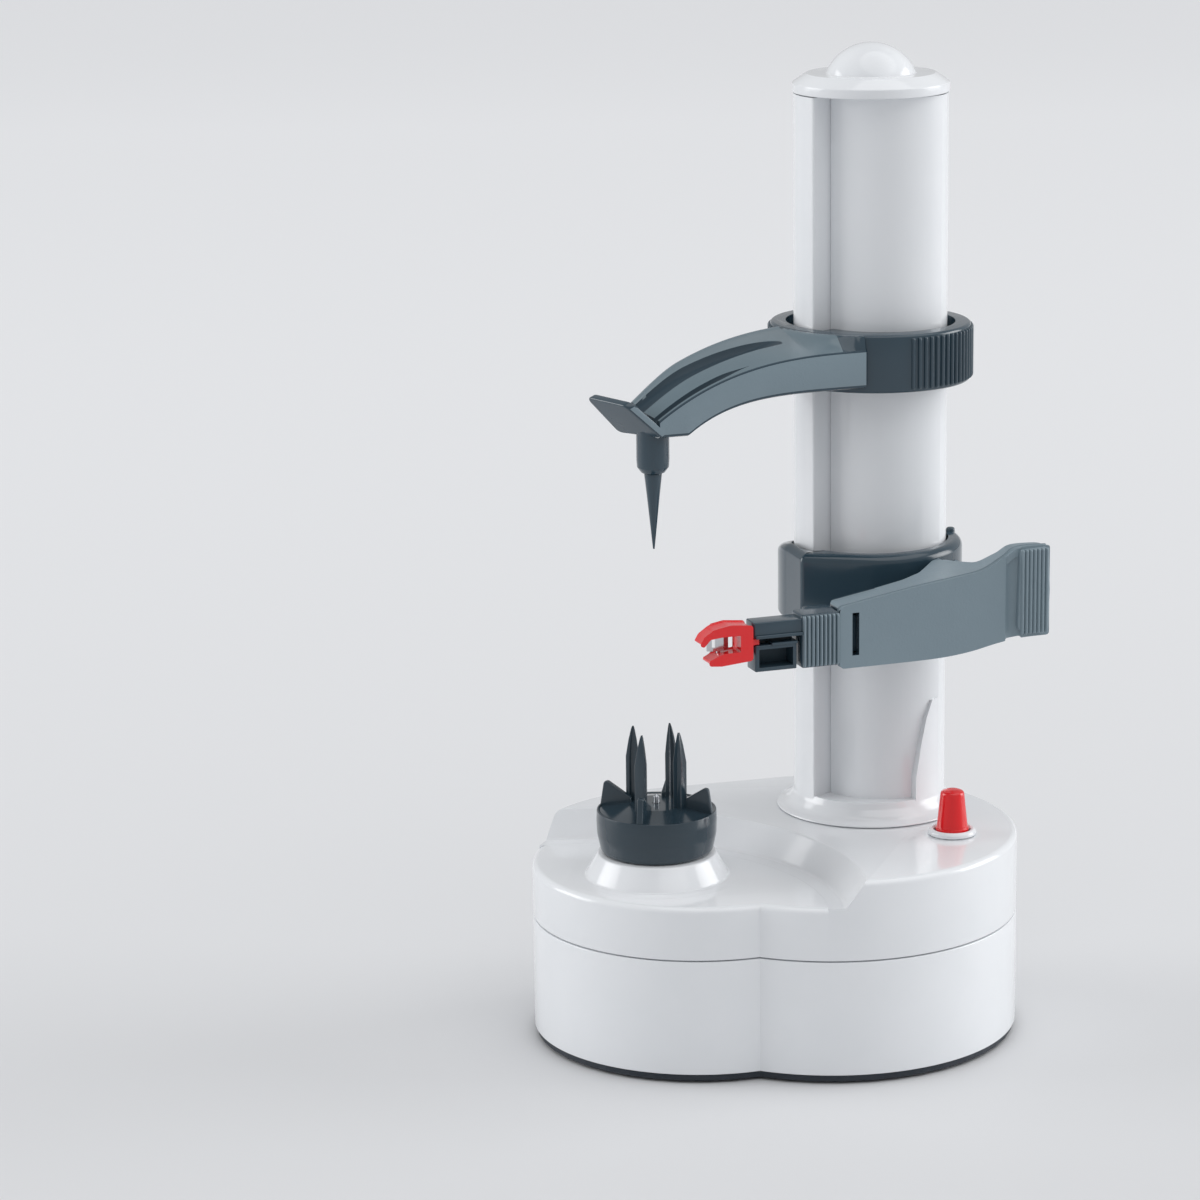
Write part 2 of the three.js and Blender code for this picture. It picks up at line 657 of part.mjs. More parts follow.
function makeHolder() {
  const { bottomRadius, bellyRadius, topRadius, height, dish } = holder;
  const body = turned(
    [
      [0, holderLow],
      [bottomRadius, holderLow],
      [bellyRadius, holderLow + height * 0.55],
      [bellyRadius, holderLow + height * 0.8],
      [topRadius, holderTop],
      [topRadius - dish, holderTop - dish / 2],
      [0, holderTop - dish],
    ],
    36,
  );
  const fins = [0, Math.PI].map((angle) => {
    const outer = topRadius - dish / 2;
    const inner = outer - holder.finLength;
    const peak = outer - holder.finLength * holder.finPeakShare;
    const base = holderTop - 2 * dish;
    const outline = [
      [inner, base],
      [outer, base],
      [outer, holderTop],
      [peak + dish, holderTop + holder.finHeight - dish / 2],
      [peak, holderTop + holder.finHeight],
      [peak - dish, holderTop + holder.finHeight - dish / 2],
      [inner, holderTop - dish / 2],
    ].map(([x, z]) => new THREE.Vector2(x, z));
    const fin = slab(outline, -holder.finThickness / 2, holder.finThickness / 2);
    return toSolid(toGeometry(fin).rotateZ(angle));
  });
  const prongs = Array.from({ length: holder.prongs }, (_, i) => {
    const { prongRadius, prongWidth, prongWeb, prongHeight, prongTip } = holder;
    const half = prongWidth / 2;
    const low = holderTop - 2 * dish;
    const high = holderTop + prongHeight;
    const cross = join(
      block(-half, half, -half, -half + prongWeb, low, high),
      block(-prongWeb / 2, prongWeb / 2, -half, half, low, high),
    );
    const square = (reach) => arc(reach * Math.SQRT2, deg(45), deg(315), 3);
    const point = loft(
      [
        [half, low],
        [half, high - prongTip],
        [prongWeb / 4, high],
      ].map(([reach, z]) => square(reach).map((p) => new THREE.Vector3(p.x, p.y, z))),
    );
    const angle = holder.prongStart + (i * 2 * Math.PI) / holder.prongs;
    const place = polar(prongRadius, angle);
    const prong = toGeometry(meet(cross, point)).rotateZ(angle + Math.PI / 2);
    return toSolid(prong.translate(place.x, place.y, 0));
  });
  const socket = meet(
    rod(spindle.topRadius + seatGap, holderLow - overrun, spindleTop + seatGap, 20),
    block(
      -spindle.topRadius - overrun,
      spindle.topRadius + overrun,
      -spindle.topFlat - seatGap,
      spindle.topFlat + seatGap,
      holderLow - overrun,
      spindleTop + seatGap,
    ),
  );
  const pinHole = rod(centrePin.radius + seatGap, centrePin.low - seatGap, holderTop + overrun, 12);
  return cut(join(body, ...fins, ...prongs), socket, pinHole);
}
const centrePin = { radius: 0.9, low: spindleTop + 2 * seatGap + wallThickness / 2, rise: 6.5 };

addPiece(baseFrame, "gear_chassis", makeChassis(), steel);
addPiece(baseFrame, "motor", makeMotor(), steel);
addPiece(baseFrame, "motor_pinion", makeMotorPinion(), brass);
addPiece(
  baseFrame,
  "reduction_gear_1",
  stepped(placeA, train.firstModule, firstLow, train.secondModule, secondLow, phases.pinionA),
  gearNylon,
);
addPiece(
  baseFrame,
  "reduction_gear_2",
  stepped(placeB, train.secondModule, secondLow, train.driveModule, driveLow, phases.pinionB),
  gearNylon,
);
addPiece(baseFrame, "gear_axle_1", axle(placeA), steel);
addPiece(baseFrame, "gear_axle_2", axle(placeB), steel);
addPiece(baseFrame, "idler_gear_1", idler(placeIdlerOne, phases.idlerOne), gearNylon);
addPiece(baseFrame, "idler_gear_2", idler(placeIdlerTwo, phases.idlerTwo), gearNylon);
addPiece(baseFrame, "idler_axle_1", axle(placeIdlerOne), steel);
addPiece(baseFrame, "idler_axle_2", axle(placeIdlerTwo), steel);
addPiece(
  baseFrame,
  "turntable_gear",
  gearDisc(
    train.driveModule,
    train.wheelTeeth,
    driveLow,
    driveHigh,
    phases.turntable,
    spindle.radius + seatGap,
  ),
  gearNylon,
);
addPiece(baseFrame, "turntable_spindle", makeSpindle(), steel);
const bushHigh = floorUnder + bush.flange + bush.length - seatGap;
addPiece(
  baseFrame,
  "spindle_bush",
  cut(
    join(
      rod(bush.outerRadius, floorUnder, Math.min(bushHigh, pedestalTop - seatGap), 24),
      rod(bush.flangeRadius, floorUnder - seatGap, floorUnder + bush.flange - seatGap, 24),
    ),
    rod(bush.innerRadius, floorUnder - overrun, pedestalTop + overrun, 24),
  ),
  brass,
);
addPiece(baseFrame, "fruit_holder", makeHolder(), holderPlastic);
const centrePinTop = holderTop + centrePin.rise;
addPiece(baseFrame, "centre_pin", rod(centrePin.radius, centrePin.low, centrePinTop, 10), steel);

// Column: round behind, with a set-back round face in front that ends in a step on the left
const column = {
  faceRadius: 20.6,
  faceX: 4.8,
  faceY: 1.1,
  stepAngle: deg(-159.2),
  faceStart: deg(-163),
  boreRadius: 16,
  boreX: 2.5,
  boreY: 0.6,
  collarRadius: 28,
  collarEdge: 1,
  collarRise: 3.8,
  slotHalf: 4.5,
  slotRise: 7,
  slotTopRoom: 9.6,
  camRise: 35.3,
  camRight: deg(-42),
  camEdge: [
    [0, -75],
    [0.36, -74.5],
    [0.62, -70],
    [0.86, -64],
    [1, -57],
  ], // share of its rise, and where its left edge lies there in degrees
  camInner: 17.5,
};
const cap = {
  rimRadius: 22.9,
  rimHeight: 2.7,
  shoulderRadius: 18.9,
  shoulderRise: 5.4,
  domeRadius: 13.1,
  domeHeight: 8.7,
  domeSteps: 4,
  plugLength: 9.5,
  bushRise: 1.5,
};
const capLow = overallHeight - cap.domeHeight - cap.shoulderRise;
const columnLow = baseHeight + seatGap;
const columnTop = capLow - seatGap;

// Where the set-back face runs out into the round back, as an angle about the face's own centre
function faceEnd(backRadius, faceRadius) {
  const shift = Math.hypot(column.faceX, column.faceY);
  const heading = Math.atan2(column.faceY, column.faceX);
  const excess = backRadius * backRadius - faceRadius * faceRadius - shift * shift;
  const cosine = excess / (2 * shift * faceRadius);
  return heading - Math.acos(Math.min(1, cosine));
}
function columnOutline(grow) {
  const backRadius = columnRadius + grow;
  const faceRadius = column.faceRadius + grow;
  const faceCentre = { x: column.faceX, y: column.faceY };
  const end = faceEnd(backRadius, faceRadius);
  const endPoint = polar(faceRadius, end, faceCentre);
  const backStart = Math.atan2(endPoint.y, endPoint.x);
  const stepAngle = column.stepAngle + grow / columnRadius;
  const faceStart = column.faceStart + grow / column.faceRadius;
  const back = arc(backRadius, backStart, stepAngle + 2 * Math.PI, 30);
  const face = arc(faceRadius, faceStart, end, 14, faceCentre);
  return [...back, ...face.slice(0, -1)];
}

// A point of the base's plan, as the column frame has it
function toColumnFrame(p) {
  const x = p.x - columnX;
  const y = p.y - columnY;
  const cos = Math.cos(armHeading);
  const sin = Math.sin(armHeading);
  return new THREE.Vector2(x * cos + y * sin, y * cos - x * sin);
}

function makeColumn() {
  const tube = prism(columnOutline(0), columnLow, columnTop);
  const deckEdge = baseOutline(shell.edgeRadius).map(toColumnFrame);
  const collar = turned(
    [
      [0, columnLow],
      [column.collarRadius, columnLow],
      [column.collarRadius - column.collarEdge / 2, columnLow + column.collarEdge],
      [columnRadius + 2 * column.collarEdge, columnLow + column.collarRise / 2],
      [columnRadius + column.collarEdge / 2, columnLow + column.collarRise],
      [0, columnLow + column.collarRise],
    ],
    40,
  );
  const shoulder = rod(spigot.radius, columnLow - spigot.length, columnLow + overrun, 36);
  const cam = loft(
    column.camEdge.map(([share, left]) => {
      const outer = arc(columnRadius, deg(left), column.camRight, 5);
      const inner = arc(column.camInner, column.camRight, deg(left), 2);
      return [...outer, ...inner].map((p) => new THREE.Vector3(p.x, p.y, columnLow + column.camRise * share));
    }),
  );
  const foot = meet(collar, prism(deckEdge, columnLow - overrun, columnLow + 2 * column.collarRise));
  const bore = rod(
    column.boreRadius,
    columnLow - spigot.length - overrun,
    columnTop + overrun,
    32,
    column.boreX,
    column.boreY,
  );
  const slotLow = columnLow + column.slotRise;
  const slotHigh = columnTop - column.slotTopRoom;
  const slot = block(-column.slotHalf, column.slotHalf, 0, columnRadius + overrun, slotLow, slotHigh);
  return cut(join(tube, foot, shoulder, cam), bore, slot);
}

const topBush = { outerRadius: 5, length: 7 };
const journal = { radius: 2.5, boreRadius: 2.75 };
const bushLow = columnTop - cap.plugLength + cap.bushRise;
function makeCap() {
  const shoulderTop = capLow + cap.shoulderRise;
  const sphere = (cap.domeRadius * cap.domeRadius + cap.domeHeight * cap.domeHeight) / (2 * cap.domeHeight);
  const spread = Math.asin(cap.domeRadius / sphere);
  const dome = Array.from({ length: cap.domeSteps + 1 }, (_, i) => {
    const angle = spread * (1 - i / cap.domeSteps);
    return [sphere * Math.sin(angle), overallHeight - sphere * (1 - Math.cos(angle))];
  });
  const lid = turned(
    [
      [0, capLow],
      [cap.rimRadius, capLow],
      [cap.rimRadius, capLow + cap.rimHeight],
      [cap.shoulderRadius, shoulderTop],
      ...dome.slice(0, -1),
      [0, overallHeight],
    ],
    36,
  );
  const plug = rod(
    column.boreRadius - seatGap,
    columnTop - cap.plugLength,
    capLow + overrun,
    32,
    column.boreX,
    column.boreY,
  );
  const socketLow = columnTop - cap.plugLength - overrun;
  const socket = rod(topBush.outerRadius + seatGap, socketLow, bushLow + topBush.length + seatGap, 20);
  return cut(join(lid, plug), socket);
}

// Leadscrew: one thread, laid out as a strip that climbs a pitch each turn
const thread = {
  pitch: 6,
  rootRadius: 2.9,
  crestRadius: 4,
  stepsPerTurn: 6,
  rise: 11,
  topRoom: 25.6,
  flankShare: 0.14,
  crestShare: 0.22,
};
function makeLeadscrew() {
  const threadLow = columnLow + thread.rise;
  const turns = Math.floor((columnTop - thread.topRoom - threadLow) / thread.pitch);
  const steps = turns * thread.stepsPerTurn;
  const rows = [
    [thread.rootRadius, 0],
    [thread.crestRadius, thread.flankShare],
    [thread.crestRadius, thread.flankShare + thread.crestShare],
    [thread.rootRadius, 2 * thread.flankShare + thread.crestShare],
  ];
  const corners = [];
  const keep = (p) => corners.push(p) - 1;
  const point = (step, radius, share) => {
    const angle = (step * 2 * Math.PI) / thread.stepsPerTurn;
    const z = threadLow + (step / thread.stepsPerTurn + share) * thread.pitch;
    return new THREE.Vector3(radius * Math.cos(angle), radius * Math.sin(angle), z);
  };
  const slice = (i) => rows.map(([radius, share]) => keep(point(i, radius, share)));
  const grid = Array.from({ length: steps + 1 }, (_, i) => slice(i));
  const onRoot = (i) => keep(point(steps + i, thread.rootRadius, 0));
  const above = Array.from({ length: thread.stepsPerTurn + 1 }, (_, i) => onRoot(i));
  const rootAt = (step) => (step <= steps ? grid[step][0] : above[step - steps]);
  above[0] = grid[steps][0];
  const faces = [];
  const quad = (a, b, c, d) => faces.push(a, b, c, a, c, d);
  for (let i = 0; i < steps; i++) {
    for (let j = 0; j < 3; j++) quad(grid[i][j], grid[i + 1][j], grid[i + 1][j + 1], grid[i][j + 1]);
    quad(grid[i][3], grid[i + 1][3], rootAt(i + 1 + thread.stepsPerTurn), rootAt(i + thread.stepsPerTurn));
  }
  // The flat starts of the thread, and a round skirt below and above it
  const start = [...grid[0], rootAt(thread.stepsPerTurn)];
  const finish = [...grid[steps], above[thread.stepsPerTurn]];
  for (let j = 1; j + 1 < start.length; j++) {
    faces.push(start[0], start[j], start[j + 1]);
    faces.push(finish[0], finish[j + 1], finish[j]);
  }
  const lowZ = threadLow - thread.pitch / 2;
  const highZ = threadLow + (turns + 1.5) * thread.pitch;
  const ring = (z) =>
    Array.from({ length: thread.stepsPerTurn }, (_, i) => {
      const p = point(i, thread.rootRadius, 0);
      return keep(new THREE.Vector3(p.x, p.y, z));
    });
  const bottom = ring(lowZ);
  const top = ring(highZ);
  const n = thread.stepsPerTurn;
  for (let i = 0; i < n; i++) {
    const next = (i + 1) % n;
    quad(bottom[i], bottom[next], rootAt(i + 1), rootAt(i));
    quad(above[i], above[i + 1], top[next], top[i]);
  }
  faces.push(bottom[0], rootAt(0), rootAt(n));
  faces.push(top[0], above[n], above[0]);
  for (let i = 1; i + 1 < n; i++) {
    faces.push(bottom[0], bottom[i + 1], bottom[i]);
    faces.push(top[0], top[i], top[i + 1]);
  }
  const geometry = new THREE.BufferGeometry();
  geometry.setAttribute("position", new THREE.Float32BufferAttribute(corners.flatMap((p) => p.toArray()), 3));
  geometry.setIndex(faces);
  const screwSolid = toSolid(geometry);
  const stem = rod(thread.rootRadius, driveHigh, lowZ + thread.pitch / 4, 12);
  const lowJournal = rod(journal.radius, chassisTop + 2 * seatGap + bearing.floor, lowZ, 12);
  const highJournal = rod(journal.radius, highZ - thread.pitch / 4, bushLow + topBush.length - seatGap, 12);
  return join(screwSolid, stem, lowJournal, highJournal);
}
const bearing = { outerRadius: 5, floor: 1, height: 4.2 };

addPiece(columnFrame, "column", makeColumn(), whitePlastic);
addPiece(columnFrame, "column_cap", makeCap(), whitePlastic);
addPiece(columnFrame, "leadscrew", makeLeadscrew(), steel);
addPiece(
  columnFrame,
  "screw_gear",
  gearDisc(
    train.driveModule,
    train.screwTeeth,
    driveLow,
    driveHigh - seatGap,
    phases.screw - armHeading,
    journal.radius + seatGap,
  ),
  gearNylon,
);
addPiece(
  columnFrame,
  "screw_bearing",
  cut(
    rod(bearing.outerRadius, chassisTop + seatGap, chassisTop + seatGap + bearing.height, 20),
    rod(journal.boreRadius, chassisTop + seatGap + bearing.floor, chassisTop + bearing.height + overrun, 12),
  ),
  brass,
);
addPiece(
  columnFrame,
  "screw_top_bush",
  cut(
    rod(topBush.outerRadius, bushLow, bushLow + topBush.length, 20),
    rod(journal.boreRadius, bushLow - overrun, bushLow + topBush.length + overrun, 12),
  ),
  brass,
);

// Switch: a tall red button in a white bezel, over a boxed push switch
const button = {
  flangeRadius: 4.9,
  flangeHeight: 1.2,
  bottomRadius: 4.4,
  topRadius: 3,
  height: 12.4,
  crown: 1,
  stemRadius: 2,
  stemLength: 8.4,
  travel: 3,
};
const switchBody = {
  half: 7.6,
  depth: 14.7,
  seatDepth: 8.5,
  springRoom: 4,
  boreRadius: 2.4,
  boreDepth: 12.7,
};
const springSeat = baseHeight - switchBody.seatDepth;
const bezelTop = baseHeight + bezel.rise;
const buttonLow = baseHeight + bezel.rise / 2;
const buttonTop = buttonLow + button.flangeHeight + button.height;
const springRing = { radius: 3.1, wire: 0.45, turns: 4, stepsPerTurn: 8, sides: 5 };

function makeButton() {
  const seat = buttonLow + button.flangeHeight;
  const body = turned(
    [
      [0, buttonLow],
      [button.flangeRadius, buttonLow],
      [button.flangeRadius, seat],
      [button.bottomRadius, seat],
      [button.topRadius, buttonTop - button.crown],
      [button.topRadius - button.crown / 2, buttonTop - button.crown / 4],
      [0, buttonTop],
    ],
    24,
    switchX,
    switchY,
  );
  const stemLow = buttonLow - button.stemLength;
  const stem = rod(button.stemRadius, stemLow, buttonLow + overrun / 2, 12, switchX, switchY);
  return join(body, stem);
}
function makeBezel() {
  const { outerRadius, innerRadius, rise, neckRadius, neckDepth } = bezel;
  const roundOver = rise / 2;
  return turned(
    [
      [innerRadius, baseHeight - neckDepth],
      [neckRadius, baseHeight - neckDepth],
      [neckRadius, baseHeight + seatGap],
      [outerRadius, baseHeight + seatGap],
      [outerRadius, baseHeight + roundOver],
      [outerRadius - roundOver / 3, bezelTop - roundOver / 4],
      [(outerRadius + innerRadius) / 2, bezelTop],
      [innerRadius + roundOver / 3, bezelTop - roundOver / 4],
      [innerRadius, baseHeight + roundOver],
      [innerRadius, baseHeight - neckDepth],
    ],
    28,
    switchX,
    switchY,
  );
}
function makeSwitchBody() {
  const { half, springRoom, boreRadius } = switchBody;
  const low = baseHeight - switchBody.depth;
  const boreLow = baseHeight - switchBody.boreDepth;
  const box = block(switchX - half, switchX + half, switchY - half, switchY + half, low, deckUnder - seatGap);
  const neckLow = baseHeight - bezel.neckDepth - seatGap;
  return cut(
    box,
    rod(bezel.neckRadius + seatGap, neckLow, deckUnder + overrun, 24, switchX, switchY),
    rod(springRoom, springSeat, neckLow + overrun, 20, switchX, switchY),
    rod(boreRadius, boreLow, springSeat + overrun, 12, switchX, switchY),
  );
}
// A coil of round wire, with flat-lying ends, round the button's stem
function makeSpring(low, high) {
  const { radius, wire, turns, stepsPerTurn, sides } = springRing;
  const rise = high - low - 2 * wire;
  class Helix extends THREE.Curve {
    getPoint(t) {
      const angle = t * turns * 2 * Math.PI;
      return new THREE.Vector3(radius * Math.cos(angle), radius * Math.sin(angle), low + wire + rise * t);
    }
  }
  const section = new THREE.Shape(arc(wire, 0, 2 * Math.PI, sides).slice(0, -1));
  const steps = turns * stepsPerTurn;
  const geometry = new THREE.ExtrudeGeometry(section, { steps, extrudePath: new Helix() });
  return toSolid(geometry.translate(switchX, switchY, 0));
}

addPiece(baseFrame, "switch_body", makeSwitchBody(), plateBlack);
addPiece(baseFrame, "switch_button", makeButton(), redPlastic);
addPiece(baseFrame, "switch_bezel", makeBezel(), whitePlastic);
addPiece(baseFrame, "switch_spring", makeSpring(springSeat + seatGap, buttonLow - seatGap), steel);

// Upper arm: a squeeze ring with two ribbed pads, and a curved arm, hollow below, to the spike boss
const ring = {
  low: 191.6,
  high: 208.6,
  longRadius: 29.8,
  shortRadius: 27.4,
  longHeading: deg(-43),
  boreLong: 25.2,
  boreShort: 23,
  edge: 1,
  ribHeight: 0.8,
  ribsPerPad: 17,
  padHalfAngle: deg(42),
  keyFrom: deg(-155.2),
  keyTo: deg(-52),
  plainSteps: 8,
};
function ellipsePoint(long, short, heading, angle, grow = 0) {
  const local = angle - heading;
  const reach = (long * short) / Math.hypot(short * Math.cos(local), long * Math.sin(local));
  return polar(reach + grow, angle);
}
function ringOutline(grow, ribbed) {
  const points = [];
  for (const side of [0, Math.PI]) {
    const middle = ring.longHeading + side;
    const teeth = ring.ribsPerPad * 2;
    for (let i = 0; i <= teeth; i++) {
      const angle = middle - ring.padHalfAngle + (2 * ring.padHalfAngle * i) / teeth;
      const rib = ribbed && i % 2 ? ring.ribHeight : 0;
      if (ribbed || i % 4 === 0) {
        points.push(ellipsePoint(ring.longRadius, ring.shortRadius, ring.longHeading, angle, grow + rib));
      }
    }
    const gap = Math.PI - 2 * ring.padHalfAngle;
    for (let i = 1; i < ring.plainSteps; i++) {
      const angle = middle + ring.padHalfAngle + (gap * i) / ring.plainSteps;
      points.push(ellipsePoint(ring.longRadius, ring.shortRadius, ring.longHeading, angle, grow));
    }
  }
  return points;
}
function boreOutline() {
  return Array.from({ length: 36 }, (_, i) =>
    ellipsePoint(ring.boreLong, ring.boreShort, ring.longHeading, (i * 2 * Math.PI) / 36),
  );
}

const upperArm = {
  rootX: -12.3,
  tipX: -75.6,
  frontY: -26.4,
  plateTop: 204.6,
  plateDrop: 15.9,
  plateShape: 2.7,
  bottom: 193.5,
  bottomDrop: 9.8,
  bottomShape: 4.2,
  bottomEndShare: 0.86,
  ridge: 206.8,
  ridgeDrop: 13.2,
  ridgeShape: 3,
  ridgeRootY: 4,
  ridgeTipY: -8.6,
  ridgeHalf: 2.2,
  ridgeBackShare: 1.3,
  stations: 14,
  endSlope: 0.6,
  wall: 2,
  hollowEndShare: 0.84,
  channelDepth: 1.8,
};
function upperArmRing(share, { inset = 0, depth = 0, endSlope = 0 } = {}) {
  const x = upperArm.rootX + (upperArm.tipX - upperArm.rootX) * share;
  const fallen = Math.min(1, share / upperArm.bottomEndShare) ** upperArm.bottomShape;
  const low = upperArm.bottom - upperArm.bottomDrop * fallen;
  const plate = upperArm.plateTop - upperArm.plateDrop * share ** upperArm.plateShape;
  const ridge = upperArm.ridge - upperArm.ridgeDrop * share ** upperArm.ridgeShape;
  const ridgeY = upperArm.ridgeRootY + (upperArm.ridgeTipY - upperArm.ridgeRootY) * share;
  const half = upperArm.ridgeHalf;
  const backShare = upperArm.ridgeBackShare;
  const front = upperArm.frontY + inset;
  return [
    [front, low - depth],
    [front, plate - inset],
    [ridgeY - half, ridge - half / 2 - inset],
    [ridgeY, ridge - inset],
    [ridgeY + half - inset, ridge - half / 2 - inset],
    [ridgeY + half * backShare - inset, ridge - 2 * half - inset],
    [ridgeY + half * backShare - inset, low - depth],
  ].map(([y, z]) => new THREE.Vector3(x - endSlope * (y - upperArm.frontY), y, z));
}
// A groove sunk in the arm's sloping top, from one share of its width to another
function upperArmGroove(startShare, lowShare, highShare) {
  const rings = [];
  for (let i = 0; i <= 6; i++) {
    const along = startShare + ((1 - startShare) * i) / 6;
    const section = upperArmRing(along, { endSlope: upperArm.endSlope * along ** 6 });
    const widen = Math.sqrt(i / 6) * 0.98 + 0.02;
    const middle = (lowShare + highShare) / 2;
    const half = ((highShare - lowShare) / 2) * widen;
    const near = section[1].clone().lerp(section[2], middle - half);
    const far = section[1].clone().lerp(section[2], middle + half);
    const up = new THREE.Vector3(0, 0, upperArm.channelDepth);
    rings.push([near.clone().sub(up), far.clone().sub(up), far.clone().add(up), near.clone().add(up)]);
  }
  const last = rings[rings.length - 1].map((p) => p.clone());
  last.forEach((p) => (p.x -= overrun));
  rings.push(last);
  return loft(rings);
}

const spike = {
  bossRadius: 4.75,
  bossLow: 172.6,
  seat: 1.6,
  bossChamfer: 1.4,
  boreRadius: 2.55,
  shaftRadius: 2.3,
  neckRadius: 1.9,
  coneRadius: 2.6,
  coneLow: 150,
  shoulderLow: 166,
  shoulderRadius: 1.9,
  roomRadius: 4.6,
  roomHeight: 3,
  washerRadius: 4,
  washerThickness: 0.8,
};
const spikeRoomLow = upperArm.bottom - upperArm.bottomDrop + spike.seat;

const flap = { outX: -10.9, outZ: 10, rearX: -8.8, rearY: 12.3, farX: -4.6, farY: 17.2, thickness: 2.2 };
function makeFlap() {
  const low = upperArm.bottom - upperArm.bottomDrop;
  const cornerA = new THREE.Vector3(upperArm.tipX, upperArm.frontY, low);
  const cornerB = cornerA.clone().add(new THREE.Vector3(flap.rearX, flap.rearY, 0));
  const cornerC = cornerA.clone().add(new THREE.Vector3(flap.outX, 0, flap.outZ));
  const cornerD = cornerC.clone().add(new THREE.Vector3(flap.farX, flap.farY, 0));
  const back = new THREE.Vector3(flap.thickness, 0, flap.thickness / 2);
  return loft([
    [cornerA, cornerB, cornerB.clone().add(back), cornerA.clone().add(back)],
    [cornerC, cornerD, cornerD.clone().add(back), cornerC.clone().add(back)],
  ]);
}

function makeUpperArm() {
  const band = join(
    prism(ringOutline(-ring.edge, false), ring.low, ring.high),
    prism(ringOutline(0, true), ring.low + ring.edge, ring.high - ring.edge),
  );
  const rings = Array.from({ length: upperArm.stations + 1 }, (_, i) => {
    const share = i / upperArm.stations;
    return upperArmRing(share, { endSlope: upperArm.endSlope * share ** 6 });
  });
  const beam = loft(rings);
  const hollowRings = Array.from({ length: upperArm.stations + 1 }, (_, i) => {
    const share = (i / upperArm.stations) * upperArm.hollowEndShare;
    return upperArmRing(share, { inset: upperArm.wall, depth: overrun });
  });
  const hollow = loft(hollowRings);
  const bore = prism(boreOutline(), ring.low - overrun, ring.high + overrun);
  const key = meet(
    prism(ringOutline(-ring.edge, false), ring.low, ring.high),
    prism(
      [new THREE.Vector2(0, 0), ...arc(2 * columnRadius, ring.keyFrom, ring.keyTo, 6)],
      ring.low - overrun,
      ring.high + overrun,
    ),
  );
  const boss = turned(
    [
      [0, spike.bossLow],
      [spike.bossRadius - spike.bossChamfer, spike.bossLow],
      [spike.bossRadius, spike.bossLow + spike.bossChamfer],
      [spike.bossRadius, spikeRoomLow + overrun],
      [0, spikeRoomLow + overrun],
    ],
    20,
    fruitX,
    fruitY,
  );
  const boreLow = spike.bossLow - overrun;
  const spikeBore = rod(spike.boreRadius, boreLow, spikeRoomLow + overrun, 16, fruitX, fruitY);
  const washerRoom = rod(spike.roomRadius, spikeRoomLow, spikeRoomLow + spike.roomHeight, 16, fruitX, fruitY);
  const clearance = prism(columnOutline(runGap + seatGap / 2), ring.low - overrun, ring.high + overrun);
  const openBand = cut(join(band, cut(beam, hollow)), bore);
  return cut(
    join(openBand, key, makeFlap(), boss),
    clearance,
    upperArmGroove(0.33, 0.42, 0.72),
    upperArmGroove(0.62, 0.05, 0.17),
    spikeBore,
    washerRoom,
  );
}

function makeSpike() {
  const washerLow = spikeRoomLow + seatGap;
  const washerHigh = washerLow + spike.washerThickness;
  return turned(
    [
      [0, spike.coneLow],
      [spike.shoulderRadius, spike.shoulderLow],
      [spike.coneRadius, spike.bossLow - seatGap],
      [spike.shaftRadius, spike.bossLow],
      [spike.shaftRadius, washerLow - seatGap],
      [spike.neckRadius, washerLow],
      [spike.neckRadius, washerHigh + seatGap],
      [0, washerHigh + seatGap],
    ],
    16,
    fruitX,
    fruitY,
  );
}
function makeWasher() {
  const low = spikeRoomLow + seatGap;
  return cut(
    rod(spike.washerRadius, low, low + spike.washerThickness, 16, fruitX, fruitY),
    rod(spike.neckRadius + seatGap / 2, low - overrun, low + overrun, 12, fruitX, fruitY),
  );
}
addPiece(columnFrame, "upper_arm", makeUpperArm(), darkPlastic);
addPiece(columnFrame, "spike", makeSpike(), darkPlastic);
addPiece(columnFrame, "spike_washer", makeWasher(), steel);

// Blade arm: a plain ring with a front-left corner, a lever across the front and a deck between them
const bladeRing = {
  low: 120.5,
  high: 143.4,
  outerRadius: 27.4,
  boreRadius: 23.3,
  cornerRadius: 31.2,
  cornerAngle: deg(-151),
  cornerFrom: deg(-176),
  cornerTo: deg(-112),
  lugRadius: 20.6,
  lugRoot: 1,
  lugFrom: deg(-141),
  lugTo: deg(-106),
  edge: 1.1,
  postX: 25.2,
  postY: 2.2,
  postRadius: 1.3,
  postTop: 147.6,
  grooveHalf: deg(26),
  grooveRadius: 25.6,
  grooveLow: 127,
  grooveHigh: 135,
};
const lever = {
  frontY: -51.3,
  plate: 2.2,
  leftX: -30.2,
  rightX: 34.6,
  bottom: 118.3,
  bottomRise: 3.8,
  riseFromX: 2,
  riseToX: 26,
  leftHeight: 17.3,
  middleX: 14.3,
  middleHeight: 25.1,
  rightTopX: 24,
  rightHeight: 30.1,
  deckLeftY: -41.6,
  webHalf: 1.3,
  boxX: -15,
  endDepth: 6.5,
  bendDepth: 7.5,
  cornerRound: 1,
  shoulderDrop: 1.6,
  leftCrown: 0.6,
  bendShare: 0.42,
  deckBack: [
    [22, -38.3],
    [20.5, -19],
    [12, -24],
    [6.5, -28.8],
    [1.9, -33.3],
    [-8.5, -36.8],
  ],
  sideWebX: 17,
  sideWebBack: -16,
  slotLeft: -26.9,
  slotRight: -24.8,
  slotLow: 121.4,
  slotHigh: 133.9,
  padLeft: 24.4,
  padBulge: 1.3,
  padInset: 0.8,
  ribInset: 1.2,
  ribOffsetShare: 0.6,
  lipShare: 0.8,
  ribPitch: 1.55,
  ribs: 6,
  ribHalf: 0.42,
};
const leverLeftTop = lever.bottom + lever.leftHeight;
const leverMiddleTop = lever.bottom + lever.middleHeight;
const leverRightTop = lever.bottom + lever.rightHeight;
